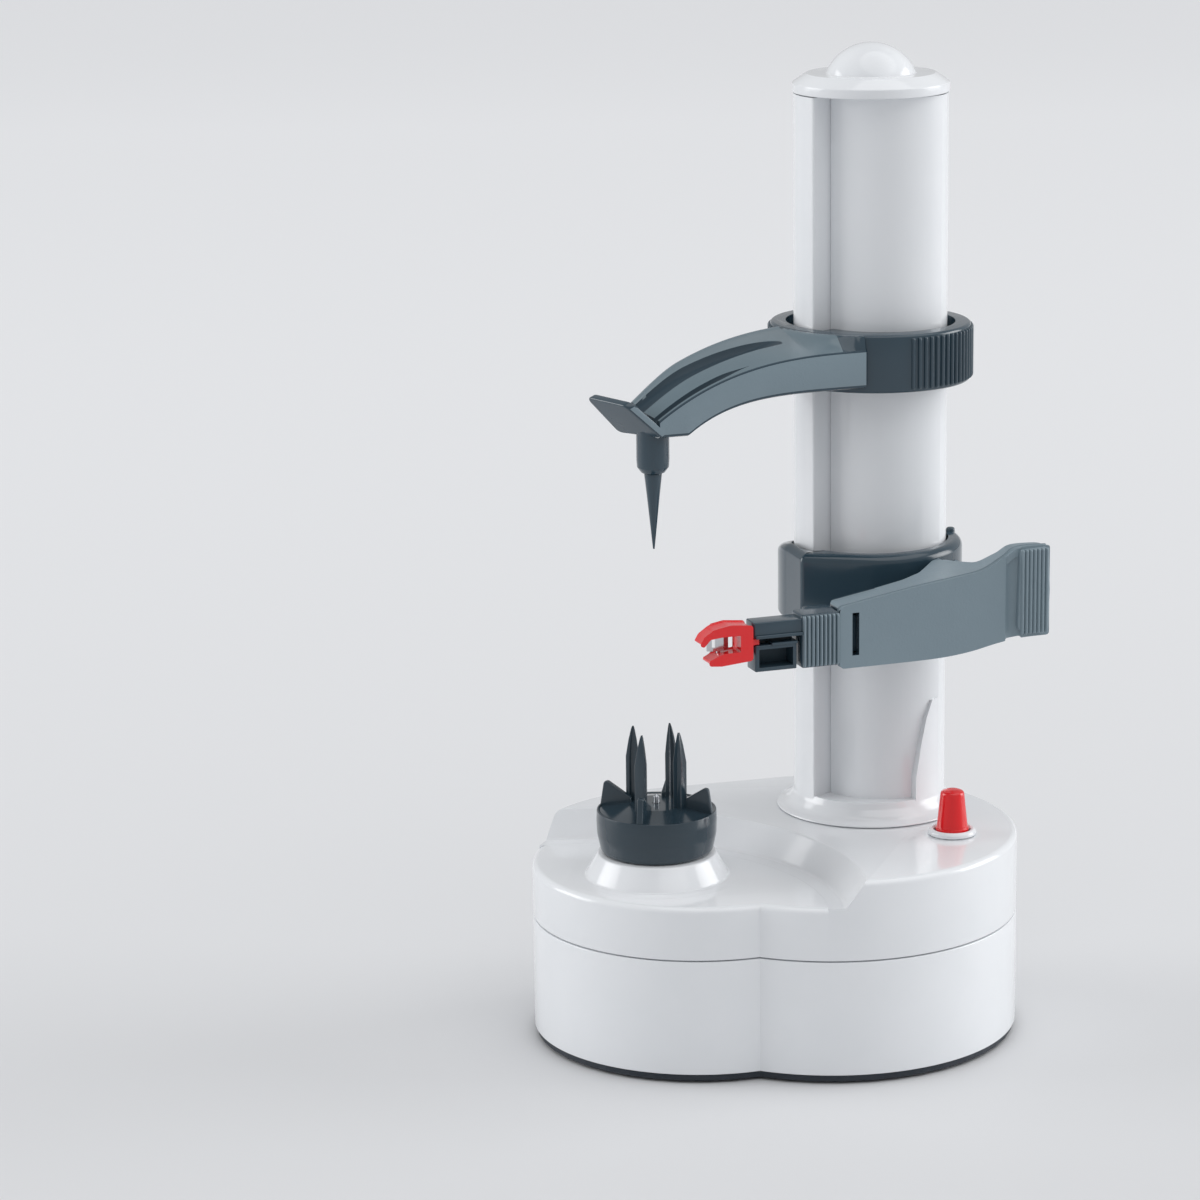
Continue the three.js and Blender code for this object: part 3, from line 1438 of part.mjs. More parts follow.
function leverSide(topDrop, bottomLift) {
  const round = lever.cornerRound;
  const top = [
    [lever.rightX, leverRightTop - round],
    [lever.rightX - round, leverRightTop],
    [lever.rightTopX, leverRightTop],
    [(lever.rightTopX + lever.middleX) / 2 + round, leverRightTop - lever.shoulderDrop],
    [lever.middleX, leverMiddleTop],
    [(lever.middleX + lever.leftX) / 2, (leverMiddleTop + leverLeftTop) / 2 + lever.leftCrown],
    [lever.leftX, leverLeftTop],
  ].map(([x, z]) => new THREE.Vector2(x, z - topDrop));
  const bottom = [
    [lever.leftX, lever.bottom],
    [lever.riseFromX, lever.bottom],
    [(lever.riseFromX + lever.riseToX) / 2, lever.bottom + lever.bottomRise * lever.bendShare],
    [lever.riseToX, lever.bottom + lever.bottomRise],
    [lever.rightX - round, lever.bottom + lever.bottomRise],
    [lever.rightX, lever.bottom + lever.bottomRise + round],
  ].map(([x, z]) => new THREE.Vector2(x, z + bottomLift));
  return [...top, ...bottom];
}

function bladeRingOutline(grow) {
  const round = arc(bladeRing.outerRadius + grow, bladeRing.cornerTo, bladeRing.cornerFrom + 2 * Math.PI, 30);
  return [...round, polar(bladeRing.cornerRadius + grow, bladeRing.cornerAngle)];
}

const bladeJoint = { halfNutWidth: 7.4 };

function makeBladeArm() {
  const { low, high, edge } = bladeRing;
  const band = join(
    prism(bladeRingOutline(0), low + edge / 2, high - edge),
    prism(bladeRingOutline(-edge), low, high),
  );
  const { postRadius, postTop, postX, postY } = bladeRing;
  const post = rod(postRadius, high - 2 * edge, postTop, 12, postX, -postY);
  // Lever: front plate, a deck that widens back to the ring, and a web under it
  const deckPlan = [
    [lever.leftX, lever.frontY],
    [lever.rightX, lever.frontY],
    [lever.rightX, lever.frontY + lever.endDepth],
    [lever.riseToX, lever.frontY + lever.bendDepth],
    ...lever.deckBack,
    [lever.leftX, lever.deckLeftY],
  ].map(([x, y]) => new THREE.Vector2(x, y));
  const fullSide = slab(leverSide(0, 0), lever.frontY, 0);
  const underDeck = slab(leverSide(lever.plate, -2 * overrun), lever.frontY - overrun, overrun);
  const deckBlock = prism(deckPlan, low - overrun, leverRightTop + overrun);
  const deck = cut(meet(deckBlock, fullSide), underDeck);
  const front = slab(leverSide(0, 0), lever.frontY, lever.frontY + lever.plate);
  const endBox = meet(
    block(lever.leftX, lever.boxX, lever.frontY, lever.deckLeftY, low - 2 * overrun, leverRightTop),
    fullSide,
  );
  const lowest = low - 2 * overrun;
  const top = leverRightTop;
  const { leftX, rightX, frontY, plate: wall } = lever;
  const underLip = slab(leverSide(-overrun, wall * lever.lipShare), frontY - overrun, overrun);
  const lipRoom = block(lever.boxX - overrun, rightX, frontY, frontY + 2 * wall, lowest, top);
  const lip = meet(lipRoom, cut(fullSide, underLip));
  const endWall = meet(block(rightX - wall, rightX, frontY, frontY + lever.endDepth, lowest, top), fullSide);
  const webLeft = switchPlace.u - lever.webHalf;
  const webBack = -bladeRing.boreRadius - lever.cornerRound;
  const web = meet(block(webLeft, webLeft + 2 * lever.webHalf, frontY, webBack, lowest, top), fullSide);
  const sideWebRight = lever.sideWebX + 2 * lever.webHalf;
  const sideWeb = meet(block(lever.sideWebX, sideWebRight, frontY, lever.sideWebBack, lowest, top), fullSide);
  const padFront = frontY - lever.padBulge / 2;
  const padSide = slab(leverSide(lever.padInset, lever.padInset), frontY - overrun, 0);
  const pad = meet(block(lever.padLeft, rightX, padFront, frontY + wall, lowest, top), padSide);
  const ribSide = slab(leverSide(lever.ribInset, lever.ribInset), frontY - overrun, 0);
  const ribs = Array.from({ length: lever.ribs }, (_, i) => {
    const x = lever.padLeft + lever.ribPitch * (i + lever.ribOffsetShare);
    const ribBack = [frontY - lever.padBulge, frontY];
    return meet(block(x - lever.ribHalf, x + lever.ribHalf, ...ribBack, lowest, top), ribSide);
  });
  const bore = rod(bladeRing.boreRadius, low - overrun, high + overrun, 48);
  const lug = meet(
    cut(
      rod(bladeRing.boreRadius + bladeRing.lugRoot, low, high - edge, 48),
      rod(bladeRing.lugRadius, low - overrun, high + overrun, 48),
    ),
    prism(
      [new THREE.Vector2(0, 0), ...arc(2 * columnRadius, bladeRing.lugFrom, bladeRing.lugTo, 3)],
      low - overrun,
      high + overrun,
    ),
  );
  const groove = meet(
    rod(bladeRing.grooveRadius, bladeRing.grooveLow, bladeRing.grooveHigh, 48),
    prism(
      [
        new THREE.Vector2(0, 0),
        ...arc(2 * columnRadius, Math.PI / 2 - bladeRing.grooveHalf, Math.PI / 2 + bladeRing.grooveHalf, 4),
      ],
      bladeRing.grooveLow,
      bladeRing.grooveHigh,
    ),
  );
  const socket = block(
    lever.leftX - overrun,
    carrier.tangX + 2 * seatGap,
    carrier.tangFront - seatGap,
    carrier.tangBack + seatGap,
    carrier.tangLow - seatGap,
    carrier.tangHigh + seatGap,
  );
  const window = block(
    lever.slotLeft,
    lever.slotRight,
    lever.frontY - overrun,
    carrier.tangFront + seatGap,
    lever.slotLow,
    lever.slotHigh,
  );
  const outside = cut(join(band, post, deck, front, endBox, lip, endWall, web, sideWeb, pad, ...ribs), bore);
  return cut(join(outside, lug), groove, socket, window);
}

// Blade carrier: tang in the lever's socket, ribbed grip, and a fork that holds the head
const carrier = {
  tangX: -18,
  tangFront: -48.6,
  tangBack: -44.4,
  tangLow: 121.8,
  tangHigh: 132.6,
  gripLeft: -42.4,
  gripRight: -30.6,
  gripFront: -52.2,
  gripBack: -43,
  gripLow: 119,
  gripHigh: 134.6,
  ribs: 9,
  ribDepth: 0.9,
  forkLeft: -58,
  forkFront: -51,
  forkBack: -44.4,
  upperLow: 130,
  upperHigh: 134.8,
  lowerLow: 119.2,
  lowerHigh: 126.9,
  lowerRight: -43.8,
  joinRight: -52.5,
  joinBack: -46,
  joinOverlap: 1,
  ribShare: 0.6,
  ribOffsetShare: 0.2,
  pocketWall: 1.2,
  ledge: 1.5,
};
function makeCarrier() {
  const c = carrier;
  const tang = block(c.gripRight - overrun, c.tangX, c.tangFront, c.tangBack, c.tangLow, c.tangHigh);
  const grip = block(c.gripLeft, c.gripRight, c.gripFront + c.ribDepth, c.gripBack, c.gripLow, c.gripHigh);
  const pitch = (c.gripRight - c.gripLeft) / c.ribs;
  const ribs = Array.from({ length: c.ribs }, (_, i) => {
    const x = c.gripLeft + pitch * (i + c.ribOffsetShare);
    const lift = c.ribDepth / 2;
    const ribBack = c.gripFront + 2 * c.ribDepth;
    return block(x, x + pitch * c.ribShare, c.gripFront, ribBack, c.gripLow + lift, c.gripHigh - lift);
  });
  const ledgeLeft = c.gripLeft + c.ledge;
  const ledgeBack = c.gripBack + 2 * c.ledge;
  const ledgeLow = c.gripHigh - c.ledge;
  const ledge = block(ledgeLeft, c.gripRight, c.gripBack - overrun, ledgeBack, ledgeLow, c.gripHigh);
  const upper = block(c.forkLeft, c.gripLeft + overrun, c.forkFront, c.forkBack, c.upperLow, c.upperHigh);
  const lower = block(c.forkLeft + c.ledge, c.lowerRight, c.forkFront, c.forkBack, c.lowerLow, c.lowerHigh);
  const pocket = block(
    c.forkLeft + c.ledge + c.pocketWall,
    c.lowerRight - c.pocketWall,
    c.forkFront - overrun,
    c.forkBack - c.pocketWall,
    c.lowerLow + c.pocketWall,
    c.lowerHigh - c.pocketWall,
  );
  const joinLow = c.lowerHigh - c.joinOverlap;
  const joinHigh = c.upperLow + c.joinOverlap;
  const back = block(c.forkLeft + c.ledge, c.joinRight, c.joinBack, c.forkBack, joinLow, joinHigh);
  return cut(join(tang, grip, ...ribs, ledge, upper, lower, back), pocket);
}

// Blade head: two fingers with the blade on pins between them
const head = {
  tipX: -74.4,
  backX: -58.4,
  front: -53.4,
  back: -46.6,
  high: 134.9,
  low: 123.2,
  mouthHigh: 131.4,
  mouthLow: 125.8,
  mouthRight: -61.4,
  pinX: -67,
  pinY: -48.6,
  pinRadius: 0.5,
  pinHole: 0.75,
  bladeHalf: 3.2,
  bladeThickness: 0.5,
  bladeSag: 0.7,
  backChamfer: 0.7,
  upperHook: [
    [9, 0],
    [4, 0.9],
    [1.2, 2.6],
    [0, 4.6],
    [0.7, 4.9],
    [2.6, 3.1],
    [6, 3.5],
  ],
  lowerHook: [
    [7, 2.6],
    [2.7, 1.2],
    [2.7, 0.3],
    [6, 0],
  ],
  pinDepth: 1.3,
  pinReach: 1,
  slitFrom: -1.9,
  slitTo: -0.9,
  slitDepth: 2,
  slitRoom: 1,
  pinRoom: 0.8,
};
const fruitReach = 28.4; // the fingers stay this far from the fruit axis
function makeHead() {
  const h = head;
  const outline = [
    [h.backX, h.low + h.backChamfer],
    [h.backX, h.high - h.backChamfer],
    ...h.upperHook.map(([reach, drop]) => [h.tipX + reach, h.high - drop]),
    [h.mouthRight, h.mouthHigh],
    [h.mouthRight, h.mouthLow],
    ...h.lowerHook.map(([reach, rise]) => [h.tipX + reach, h.low + rise]),
  ].map(([x, z]) => new THREE.Vector2(x, z));
  const body = slab(outline, h.front, h.back);
  // The fruit side of the fingers is hollowed to follow the fruit
  const hollow = toSolid(
    new THREE.CylinderGeometry(fruitReach, fruitReach, h.high - h.low + 2 * overrun, 48)
      .rotateX(Math.PI / 2)
      .translate(fruitX, fruitY, (h.high + h.low) / 2),
  );
  const hole = rod(h.pinHole, h.mouthLow - h.pinDepth, h.mouthHigh + h.pinDepth, 10, h.pinX, h.pinY);
  return cut(cut(body, hollow), hole);
}

function makeBlade() {
  const h = head;
  const low = h.mouthLow + seatGap;
  const high = h.mouthHigh - seatGap;
  const outer = Array.from({ length: 5 }, (_, i) => {
    const share = i / 2 - 1;
    return new THREE.Vector2(h.pinX + h.bladeHalf * share, h.pinY - h.bladeSag * (1 - share * share));
  });
  const inner = outer.map((p) => new THREE.Vector2(p.x, p.y + h.bladeThickness)).reverse();
  const strip = prism([...outer, ...inner], low, high);
  const near = h.pinY - h.slitDepth;
  const far = h.pinY + h.slitDepth;
  const slit = block(h.pinX + h.slitFrom, h.pinX + h.slitTo, near, far, low + h.slitRoom, high - h.slitRoom);
  const pins = rod(h.pinRadius, h.mouthLow - h.pinReach, h.mouthHigh + h.pinReach, 8, h.pinX, h.pinY);
  const half = h.pinReach;
  const middle = block(h.pinX - half, h.pinX + half, near, far, low + h.pinRoom, high - h.pinRoom);
  return join(cut(strip, slit), cut(pins, middle));
}

// Half nut: sits behind the screw, reaches out through the slot and into the ring's groove
const halfNut = {
  low: 127.3,
  high: 134.7,
  boreGap: 0.4,
  wall: 2.6,
  tongueRadius: 25.2,
  halfWidth: 3.9,
  blockFront: 0.6,
  blockBack: 11,
  stemReach: 5,
};
function makeHalfNut() {
  const bore = thread.crestRadius + halfNut.boreGap;
  const jawHalf = bore + halfNut.wall / 2;
  const stemBack = columnRadius + halfNut.stemReach;
  const jaw = block(-jawHalf, jawHalf, halfNut.blockFront, halfNut.blockBack, halfNut.low, halfNut.high);
  const stemFront = halfNut.blockBack - overrun;
  const stem = block(-halfNut.halfWidth, halfNut.halfWidth, stemFront, stemBack, halfNut.low, halfNut.high);
  const reach = rod(halfNut.tongueRadius, halfNut.low, halfNut.high, 48);
  return cut(meet(join(jaw, stem), reach), rod(bore, halfNut.low - overrun, halfNut.high + overrun, 20));
}
addPiece(columnFrame, "half_nut", makeHalfNut(), brass);
addPiece(columnFrame, "blade_arm", makeBladeArm(), darkPlastic);
addPiece(columnFrame, "blade_carrier", makeCarrier(), darkPlastic);
addPiece(columnFrame, "blade_head", makeHead(), redPlastic);
addPiece(columnFrame, "peeling_blade", makeBlade(), steel);

// The origin is the bottom centre of the whole peeler
peeler.updateMatrixWorld(true);
const bounds = new THREE.Box3().setFromObject(peeler, true);
const middle = bounds.getCenter(new THREE.Vector3());
peeler.position.set(-middle.x, -middle.y, -bounds.min.z);

export default peeler;
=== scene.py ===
import json
import math
import bmesh
import bpy
from mathutils import Matrix, Vector


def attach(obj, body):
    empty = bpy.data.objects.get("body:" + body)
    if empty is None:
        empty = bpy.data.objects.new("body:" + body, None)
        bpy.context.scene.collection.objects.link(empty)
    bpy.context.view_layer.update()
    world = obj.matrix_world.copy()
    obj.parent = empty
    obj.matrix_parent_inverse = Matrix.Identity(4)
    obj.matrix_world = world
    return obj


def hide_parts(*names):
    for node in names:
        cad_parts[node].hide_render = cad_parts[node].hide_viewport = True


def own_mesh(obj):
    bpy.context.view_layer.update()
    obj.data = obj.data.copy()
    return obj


# Electric peeler: a two-lobed battery base, a turning fruit holder, a column, a spike arm and a blade arm.
# Pieces are made in millimetres about the fruit axis or the column axis, and moved into metres at the end.
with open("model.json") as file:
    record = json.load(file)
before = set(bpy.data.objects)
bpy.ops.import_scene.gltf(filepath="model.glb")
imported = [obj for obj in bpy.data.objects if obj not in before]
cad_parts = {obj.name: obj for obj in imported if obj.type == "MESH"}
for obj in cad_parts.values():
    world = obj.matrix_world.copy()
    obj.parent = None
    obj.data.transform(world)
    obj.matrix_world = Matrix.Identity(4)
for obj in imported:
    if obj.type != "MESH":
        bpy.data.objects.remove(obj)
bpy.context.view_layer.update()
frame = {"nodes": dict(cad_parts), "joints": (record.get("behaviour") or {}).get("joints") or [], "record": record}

joints = {joint["name"]: joint for joint in frame["joints"]}
fruitAxis = Vector(joints["turntable_spin"]["pos_m"])
columnAxis = Vector(joints["screw_spin"]["pos_m"])
toMetres = Matrix.Scale(0.001, 4)
armHeading = Matrix.Rotation(math.radians(19), 4, "Z")  # both arms lie along it
baseSpace = Matrix.Translation((fruitAxis.x, fruitAxis.y, 0)) @ toMetres
columnSpace = Matrix.Translation((columnAxis.x, columnAxis.y, 0)) @ armHeading @ toMetres
toColumn = columnSpace.inverted()
turnToColumn = toColumn.to_3x3().normalized()
columnPlace = baseSpace.inverted() @ Vector((columnAxis.x, columnAxis.y, 0))
fruitPlace = toColumn @ Vector((fruitAxis.x, fruitAxis.y, 0))
switchPlace = baseSpace.inverted() @ (columnSpace @ Vector((10.1, -38.9, 0)))


def added(name, data):
    thing = bpy.data.objects.new(name, data)
    bpy.context.scene.collection.objects.link(thing)
    return thing


# Camera
view = {
    "place": (-15.67, -1150.7, 413.75),
    "pitch": 76.39,
    "roll": -0.77,
    "lens": 123.21,
    "sensor": 36,
    "reach": 20,  # metres
}
cameraData = bpy.data.cameras.new("photoCamera")
cameraData.lens = view["lens"]
cameraData.sensor_width = view["sensor"]
cameraData.sensor_fit = "HORIZONTAL"
cameraData.clip_end = view["reach"]
camera = added("photoCamera", cameraData)
camera.matrix_world = (
    Matrix.Translation(baseSpace @ Vector(view["place"]))
    @ Matrix.Rotation(math.radians(view["pitch"]), 4, "X")
    @ Matrix.Rotation(math.radians(view["roll"]), 4, "Z")
)
bpy.context.scene.camera = camera


# Paths and levels, in millimetres
def polar(radius, angle, centre=(0, 0)):
    return (centre[0] + radius * math.cos(angle), centre[1] + radius * math.sin(angle))


def between(first, last, share):
    return first + (last - first) * share


def smoothStep(value, low, high):
    share = min(1.0, max(0.0, (value - low) / (high - low)))
    return share * share * (3 - 2 * share)


def wedge(reach, degrees):  # a slice of a disc
    return [(0, 0)] + [polar(reach, math.radians(d)) for d in degrees]


def rounded(path, closed=True, steps=6):  # corners given as (x, y, radius) become arcs
    points = []
    for i, (x, y, *more) in enumerate(path):
        radius = more[0] if more else 0
        corner = Vector((x, y))
        if radius <= 0 or (not closed and i in (0, len(path) - 1)):
            points.append((x, y))
            continue
        before = Vector(path[i - 1][:2]) - corner
        after = Vector(path[(i + 1) % len(path)][:2]) - corner
        half = before.angle(after) / 2
        if half > math.pi / 2 - 0.01:  # nearly straight
            points.append((x, y))
            continue
        reach = min(radius / math.tan(half), before.length * 0.49, after.length * 0.49)
        radius = reach * math.tan(half)
        middle = corner + (before.normalized() + after.normalized()).normalized() * (radius / math.sin(half))
        start = corner + before.normalized() * reach - middle
        end = corner + after.normalized() * reach - middle
        first = math.atan2(start.y, start.x)
        sweep = math.atan2(end.y, end.x) - first
        sweep = (sweep + math.pi) % (2 * math.pi) - math.pi
        points += [polar(radius, first + sweep * step / steps, middle) for step in range(steps + 1)]
    return points


def through(points, steps=8):  # a smooth line through the points
    line = []
    padded = [points[0]] + list(points) + [points[-1]]
    for i in range(1, len(padded) - 2):
        p0, p1, p2, p3 = (Vector(p) for p in padded[i - 1 : i + 3])
        slope, bend, twist = p2 - p0, 2 * p0 - 5 * p1 + 4 * p2 - p3, 3 * p1 - p0 - 3 * p2 + p3
        for k in range(steps):
            t = k / steps
            line.append(tuple(0.5 * (2 * p1 + slope * t + bend * t**2 + twist * t**3)))
    return line + [tuple(points[-1])]


def insetPath(points, amount):  # a closed plan outline moved inwards; anticlockwise
    moved = []
    for i, (x, y) in enumerate(points):
        before = Vector((x, y)) - Vector(points[i - 1])
        after = Vector(points[(i + 1) % len(points)]) - Vector((x, y))
        if before.length < 1e-6 or after.length < 1e-6:
            before = after = before if before.length > after.length else after
        normals = [Vector((-d.y, d.x)).normalized() for d in (before, after)]
        middle = normals[0] + normals[1]
        middle = middle.normalized() if middle.length > 1e-6 else normals[0]
        stretch = 1 / max(0.5, middle.dot(normals[0]))
        moved.append((x + middle.x * amount * stretch, y + middle.y * amount * stretch))
    return moved


def edgeLevels(low, high, lowEdge, highEdge, steps=4):  # inset and height, round at both ends
    turns = [math.pi / 2 * i / steps for i in range(steps + 1)]
    foot = [(lowEdge * (1 - math.sin(t)), low + lowEdge * (1 - math.cos(t))) for t in turns]
    head = [(highEdge * (1 - math.cos(t)), high - highEdge * (1 - math.sin(t))) for t in turns]
    return (foot if lowEdge > 0 else [(0, low)]) + (head if highEdge > 0 else [(0, high)])


# Mesh helpers
swapYZ = Matrix(((1, 0, 0, 0), (0, 0, 1, 0), (0, 1, 0, 0), (0, 0, 0, 1)))


def newPiece(name, vertices, faces):
    mesh = bpy.data.meshes.new(name)
    mesh.from_pydata([tuple(v) for v in vertices], [], faces)
    return added(name, mesh)


def mergeDoubles(piece, distance=1e-4):  # and turns its faces outwards
    shape = bmesh.new()
    shape.from_mesh(piece.data)
    bmesh.ops.remove_doubles(shape, verts=shape.verts, dist=distance)
    bmesh.ops.dissolve_degenerate(shape, edges=shape.edges, dist=distance)
    bmesh.ops.recalc_face_normals(shape, faces=shape.faces)
    shape.to_mesh(piece.data)
    shape.free()
    return piece


def skinOf(name, rings, loop=False):  # equal rings of points; flat ends, or a closed loop of rings
    count, total = len(rings[0]), len(rings)
    faces = []
    for i in range(total if loop else total - 1):
        here, there = i * count, ((i + 1) % total) * count
        for j in range(count):
            k = (j + 1) % count
            faces.append((here + j, here + k, there + k, there + j))
    if not loop:
        faces.append(tuple(reversed(range(count))))
        faces.append(tuple(range((total - 1) * count, total * count)))
    return newPiece(name, [p for ring in rings for p in ring], faces)


def turned(name, profile, segments=96, centre=(0, 0), loop=False):  # radius and height, from the low end up
    angles = [2 * math.pi * i / segments for i in range(segments)]
    rings = [[(*polar(radius, angle, centre), height) for angle in angles] for radius, height in profile]
    return mergeDoubles(skinOf(name, rings, loop))


def lathe(name, path, steps, segments=96, centre=(0, 0)):  # a profile with rounded corners, turned
    return turned(name, rounded(path, closed=False, steps=steps), segments, centre)


def drum(name, radius, low, high, segments=96, centre=(0, 0)):
    return turned(name, [(0, low), (radius, low), (radius, high), (0, high)], segments, centre)


# A plan outline raised along Z, or a side outline in X and Z run along Y, with round edges
def plate(name, outline, low, high, edge=0.5, along="Z"):
    levels = edgeLevels(low, high, edge, edge)
    piece = skinOf(name, [[(x, y, z) for x, y in insetPath(outline, inset)] for inset, z in levels])
    if along == "Y":
        piece.data.transform(swapYZ)
    return mergeDoubles(piece)


def boxOf(name, xLow, xHigh, yLow, yHigh, zLow, zHigh, edge=0.0, corner=0.0):
    path = [(xLow, yLow, corner), (xHigh, yLow, corner), (xHigh, yHigh, corner), (xLow, yHigh, corner)]
    outline = rounded(path, steps=4) if corner > 0 else [p[:2] for p in path]
    return plate(name, outline, zLow, zHigh, edge)


def plainMesh(piece):
    return bpy.data.meshes.new_from_object(piece.evaluated_get(bpy.context.evaluated_depsgraph_get()))


def baked(piece):
    mesh = plainMesh(piece)
    piece.modifiers.clear()
    worn = piece.data
    piece.data = mesh
    bpy.data.meshes.remove(worn)
    return piece


def combine(piece, others, operation):
    for other in others:
        modifier = piece.modifiers.new("shape", "BOOLEAN")
        modifier.solver = "MANIFOLD"
        modifier.operation = operation
        modifier.object = other
        baked(piece)
        bpy.data.objects.remove(other)
    return piece


def cut(piece, *others):
    return combine(piece, others, "DIFFERENCE")


def join(piece, *others):
    return combine(piece, others, "UNION")


def meet(piece, *others):
    return combine(piece, others, "INTERSECT")


def finish(piece, space, body, look, nodes=(), sharp=30):
    piece.data.transform(space)
    piece.data.materials.clear()
    piece.data.materials.append(materials[look])
    for polygon in piece.data.polygons:
        polygon.use_smooth = True
        polygon.material_index = 0
    piece.data.set_sharp_from_angle(angle=math.radians(sharp))
    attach(piece, body)
    if nodes:
        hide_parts(*nodes)
    return piece


def paint(piece, look, test):  # faces that pass the test, in the column's space, get one more finish: painted reflection, painted light or painted shade
    piece.data.materials.append(materials[look])
    for polygon in piece.data.polygons:
        if test(turnToColumn @ polygon.normal, toColumn @ polygon.center):
            polygon.material_index = len(piece.data.materials) - 1


# Materials
skin = {
    "layers": {"Grain": (900.0, 2), "Wave": (28.0, 1), "Rub": (65.0, 5)},  # scale and detail
    "roughness": 0.55,
    "rubRange": (0.3, 0.7),
    "depths": {"Wave": 0.004, "Grain": 0.0002},
    "coatRoughness": 0.06,
}


def mouldedSkin():  # fine grain, slow unevenness and rubbed patches of a moulded surface
    tree = bpy.data.node_groups.new("mouldedSkin", "ShaderNodeTree")
    for layer, (scale, detail) in skin["layers"].items():
        kind = "NodeSocketFloat"
        socket = tree.interface.new_socket(name=layer + " Scale", in_out="INPUT", socket_type=kind)
        socket.default_value = scale
        tree.interface.new_socket(name=layer, in_out="OUTPUT", socket_type=kind)
    given, result = tree.nodes.new("NodeGroupInput"), tree.nodes.new("NodeGroupOutput")
    place = tree.nodes.new("ShaderNodeTexCoord")
    for layer, (scale, detail) in skin["layers"].items():
        noise = tree.nodes.new("ShaderNodeTexNoise")
        noise.inputs["Detail"].default_value = detail
        noise.inputs["Roughness"].default_value = skin["roughness"]
        tree.links.new(place.outputs["Object"], noise.inputs["Vector"])
        tree.links.new(given.outputs[layer + " Scale"], noise.inputs["Scale"])
        tree.links.new(noise.outputs["Fac"], result.inputs[layer])
    return tree


skinGroup = mouldedSkin()


def rangeOf(material, source, fromRange, toRange=(0, 1)):
    node = material.node_tree.nodes.new("ShaderNodeMapRange")
    for label, value in zip(("From Min", "From Max", "To Min", "To Max"), (*fromRange, *toRange)):
        node.inputs[label].default_value = value
    material.node_tree.links.new(source, node.inputs["Value"])
    return node.outputs["Result"]


def mixColour(material, factor, first, second):
    node = material.node_tree.nodes.new("ShaderNodeMix")
    node.data_type = "RGBA"
    node.inputs["A"].default_value = first
    node.inputs["B"].default_value = second
    material.node_tree.links.new(factor, node.inputs["Factor"])
    return node.outputs["Result"]


def linear(red, green, blue):  # 0 to 255 as seen, to the values a shader takes
    parts = [(c / 255) / 12.92 if c < 11 else ((c / 255 + 0.055) / 1.055) ** 2.4 for c in (red, green, blue)]
    return (*parts, 1.0)


# One moulded or metal finish: two close colours, an uneven gloss and a fine relief
def plastic(name, colour, shade, rough, grain, wave, grainScale=900, coat=0.0, metallic=0.0, ior=1.5):
    material = bpy.data.materials.new(name)
    material.use_nodes = True
    nodes, links = material.node_tree.nodes, material.node_tree.links
    shader = nodes["Principled BSDF"]
    layers = nodes.new("ShaderNodeGroup")
    layers.node_tree = skinGroup
    layers.inputs["Grain Scale"].default_value = grainScale
    shader.inputs["Metallic"].default_value = metallic
    shader.inputs["IOR"].default_value = ior
    shader.inputs["Coat Weight"].default_value = coat
    shader.inputs["Coat Roughness"].default_value = skin["coatRoughness"]
    rub = layers.outputs["Rub"]
    links.new(mixColour(material, rub, linear(*colour), linear(*shade)), shader.inputs["Base Color"])
    links.new(rangeOf(material, rub, skin["rubRange"], rough), shader.inputs["Roughness"])
    relief = None
    for layer, strength in (("Wave", wave), ("Grain", grain)):
        bump = nodes.new("ShaderNodeBump")
        bump.inputs["Strength"].default_value = strength
        bump.inputs["Distance"].default_value = skin["depths"][layer]
        links.new(layers.outputs[layer], bump.inputs["Height"])
        if relief:
            links.new(relief, bump.inputs["Normal"])
        relief = bump.outputs["Normal"]
    links.new(relief, shader.inputs["Normal"])
    return material


finishes = {  # two colours as seen, range of roughness, grain, wave, and what else differs
    "whiteGloss": ((238, 240, 243), (232, 235, 238), (0.1, 0.17), 0.03, 0.012, {"coat": 0.3}),
    # arm plastic with a satin gloss; its lighter colour is a painted reflection on front and top faces, the thumb
    # pad and the ribs
    "armSatinPaintedSheen": ((128, 145, 154), (121, 138, 148), (0.34, 0.42), 0.3, 0.01, {"grainScale": 1400}),
    "armGloss": ((50, 70, 82), (45, 64, 76), (0.12, 0.2), 0.03, 0.012, {"coat": 0.2}),
    # painted shade: a darker, less reflective copy of the arm plastic for the scoop, the groove and the pocket
    "armPaintedShade": ((46, 64, 75), (41, 58, 69), (0.3, 0.4), 0.05, 0.012, {"ior": 1.3}),
    # painted light: a lighter tone of the arm plastic for the upper arm's upward-facing top
    "armTopPaintedLight": ((104, 122, 131), (97, 115, 124), (0.2, 0.28), 0.05, 0.012, {"coat": 0.15}),
    "holderGloss": ((42, 58, 68), (38, 54, 64), (0.16, 0.24), 0.04, 0.015, {"coat": 0.15}),
    "redGloss": ((232, 24, 30), (220, 18, 25), (0.14, 0.22), 0.03, 0.01, {"coat": 0.3}),
    "baseBlack": ((38, 46, 56), (33, 41, 50), (0.5, 0.62), 0.5, 0.01, {"grainScale": 1200}),
    "footRubber": ((30, 32, 35), (24, 26, 29), (0.75, 0.9), 0.6, 0.01, {"grainScale": 700}),
    "cellSleeve": ((60, 112, 142), (54, 104, 134), (0.2, 0.3), 0.05, 0.01, {"coat": 0.3}),
    "gearNylon": ((232, 229, 216), (224, 220, 205), (0.38, 0.5), 0.12, 0.01, {}),
    "switchBlack": ((30, 32, 35), (26, 28, 31), (0.42, 0.55), 0.3, 0.01, {"grainScale": 1100}),
}
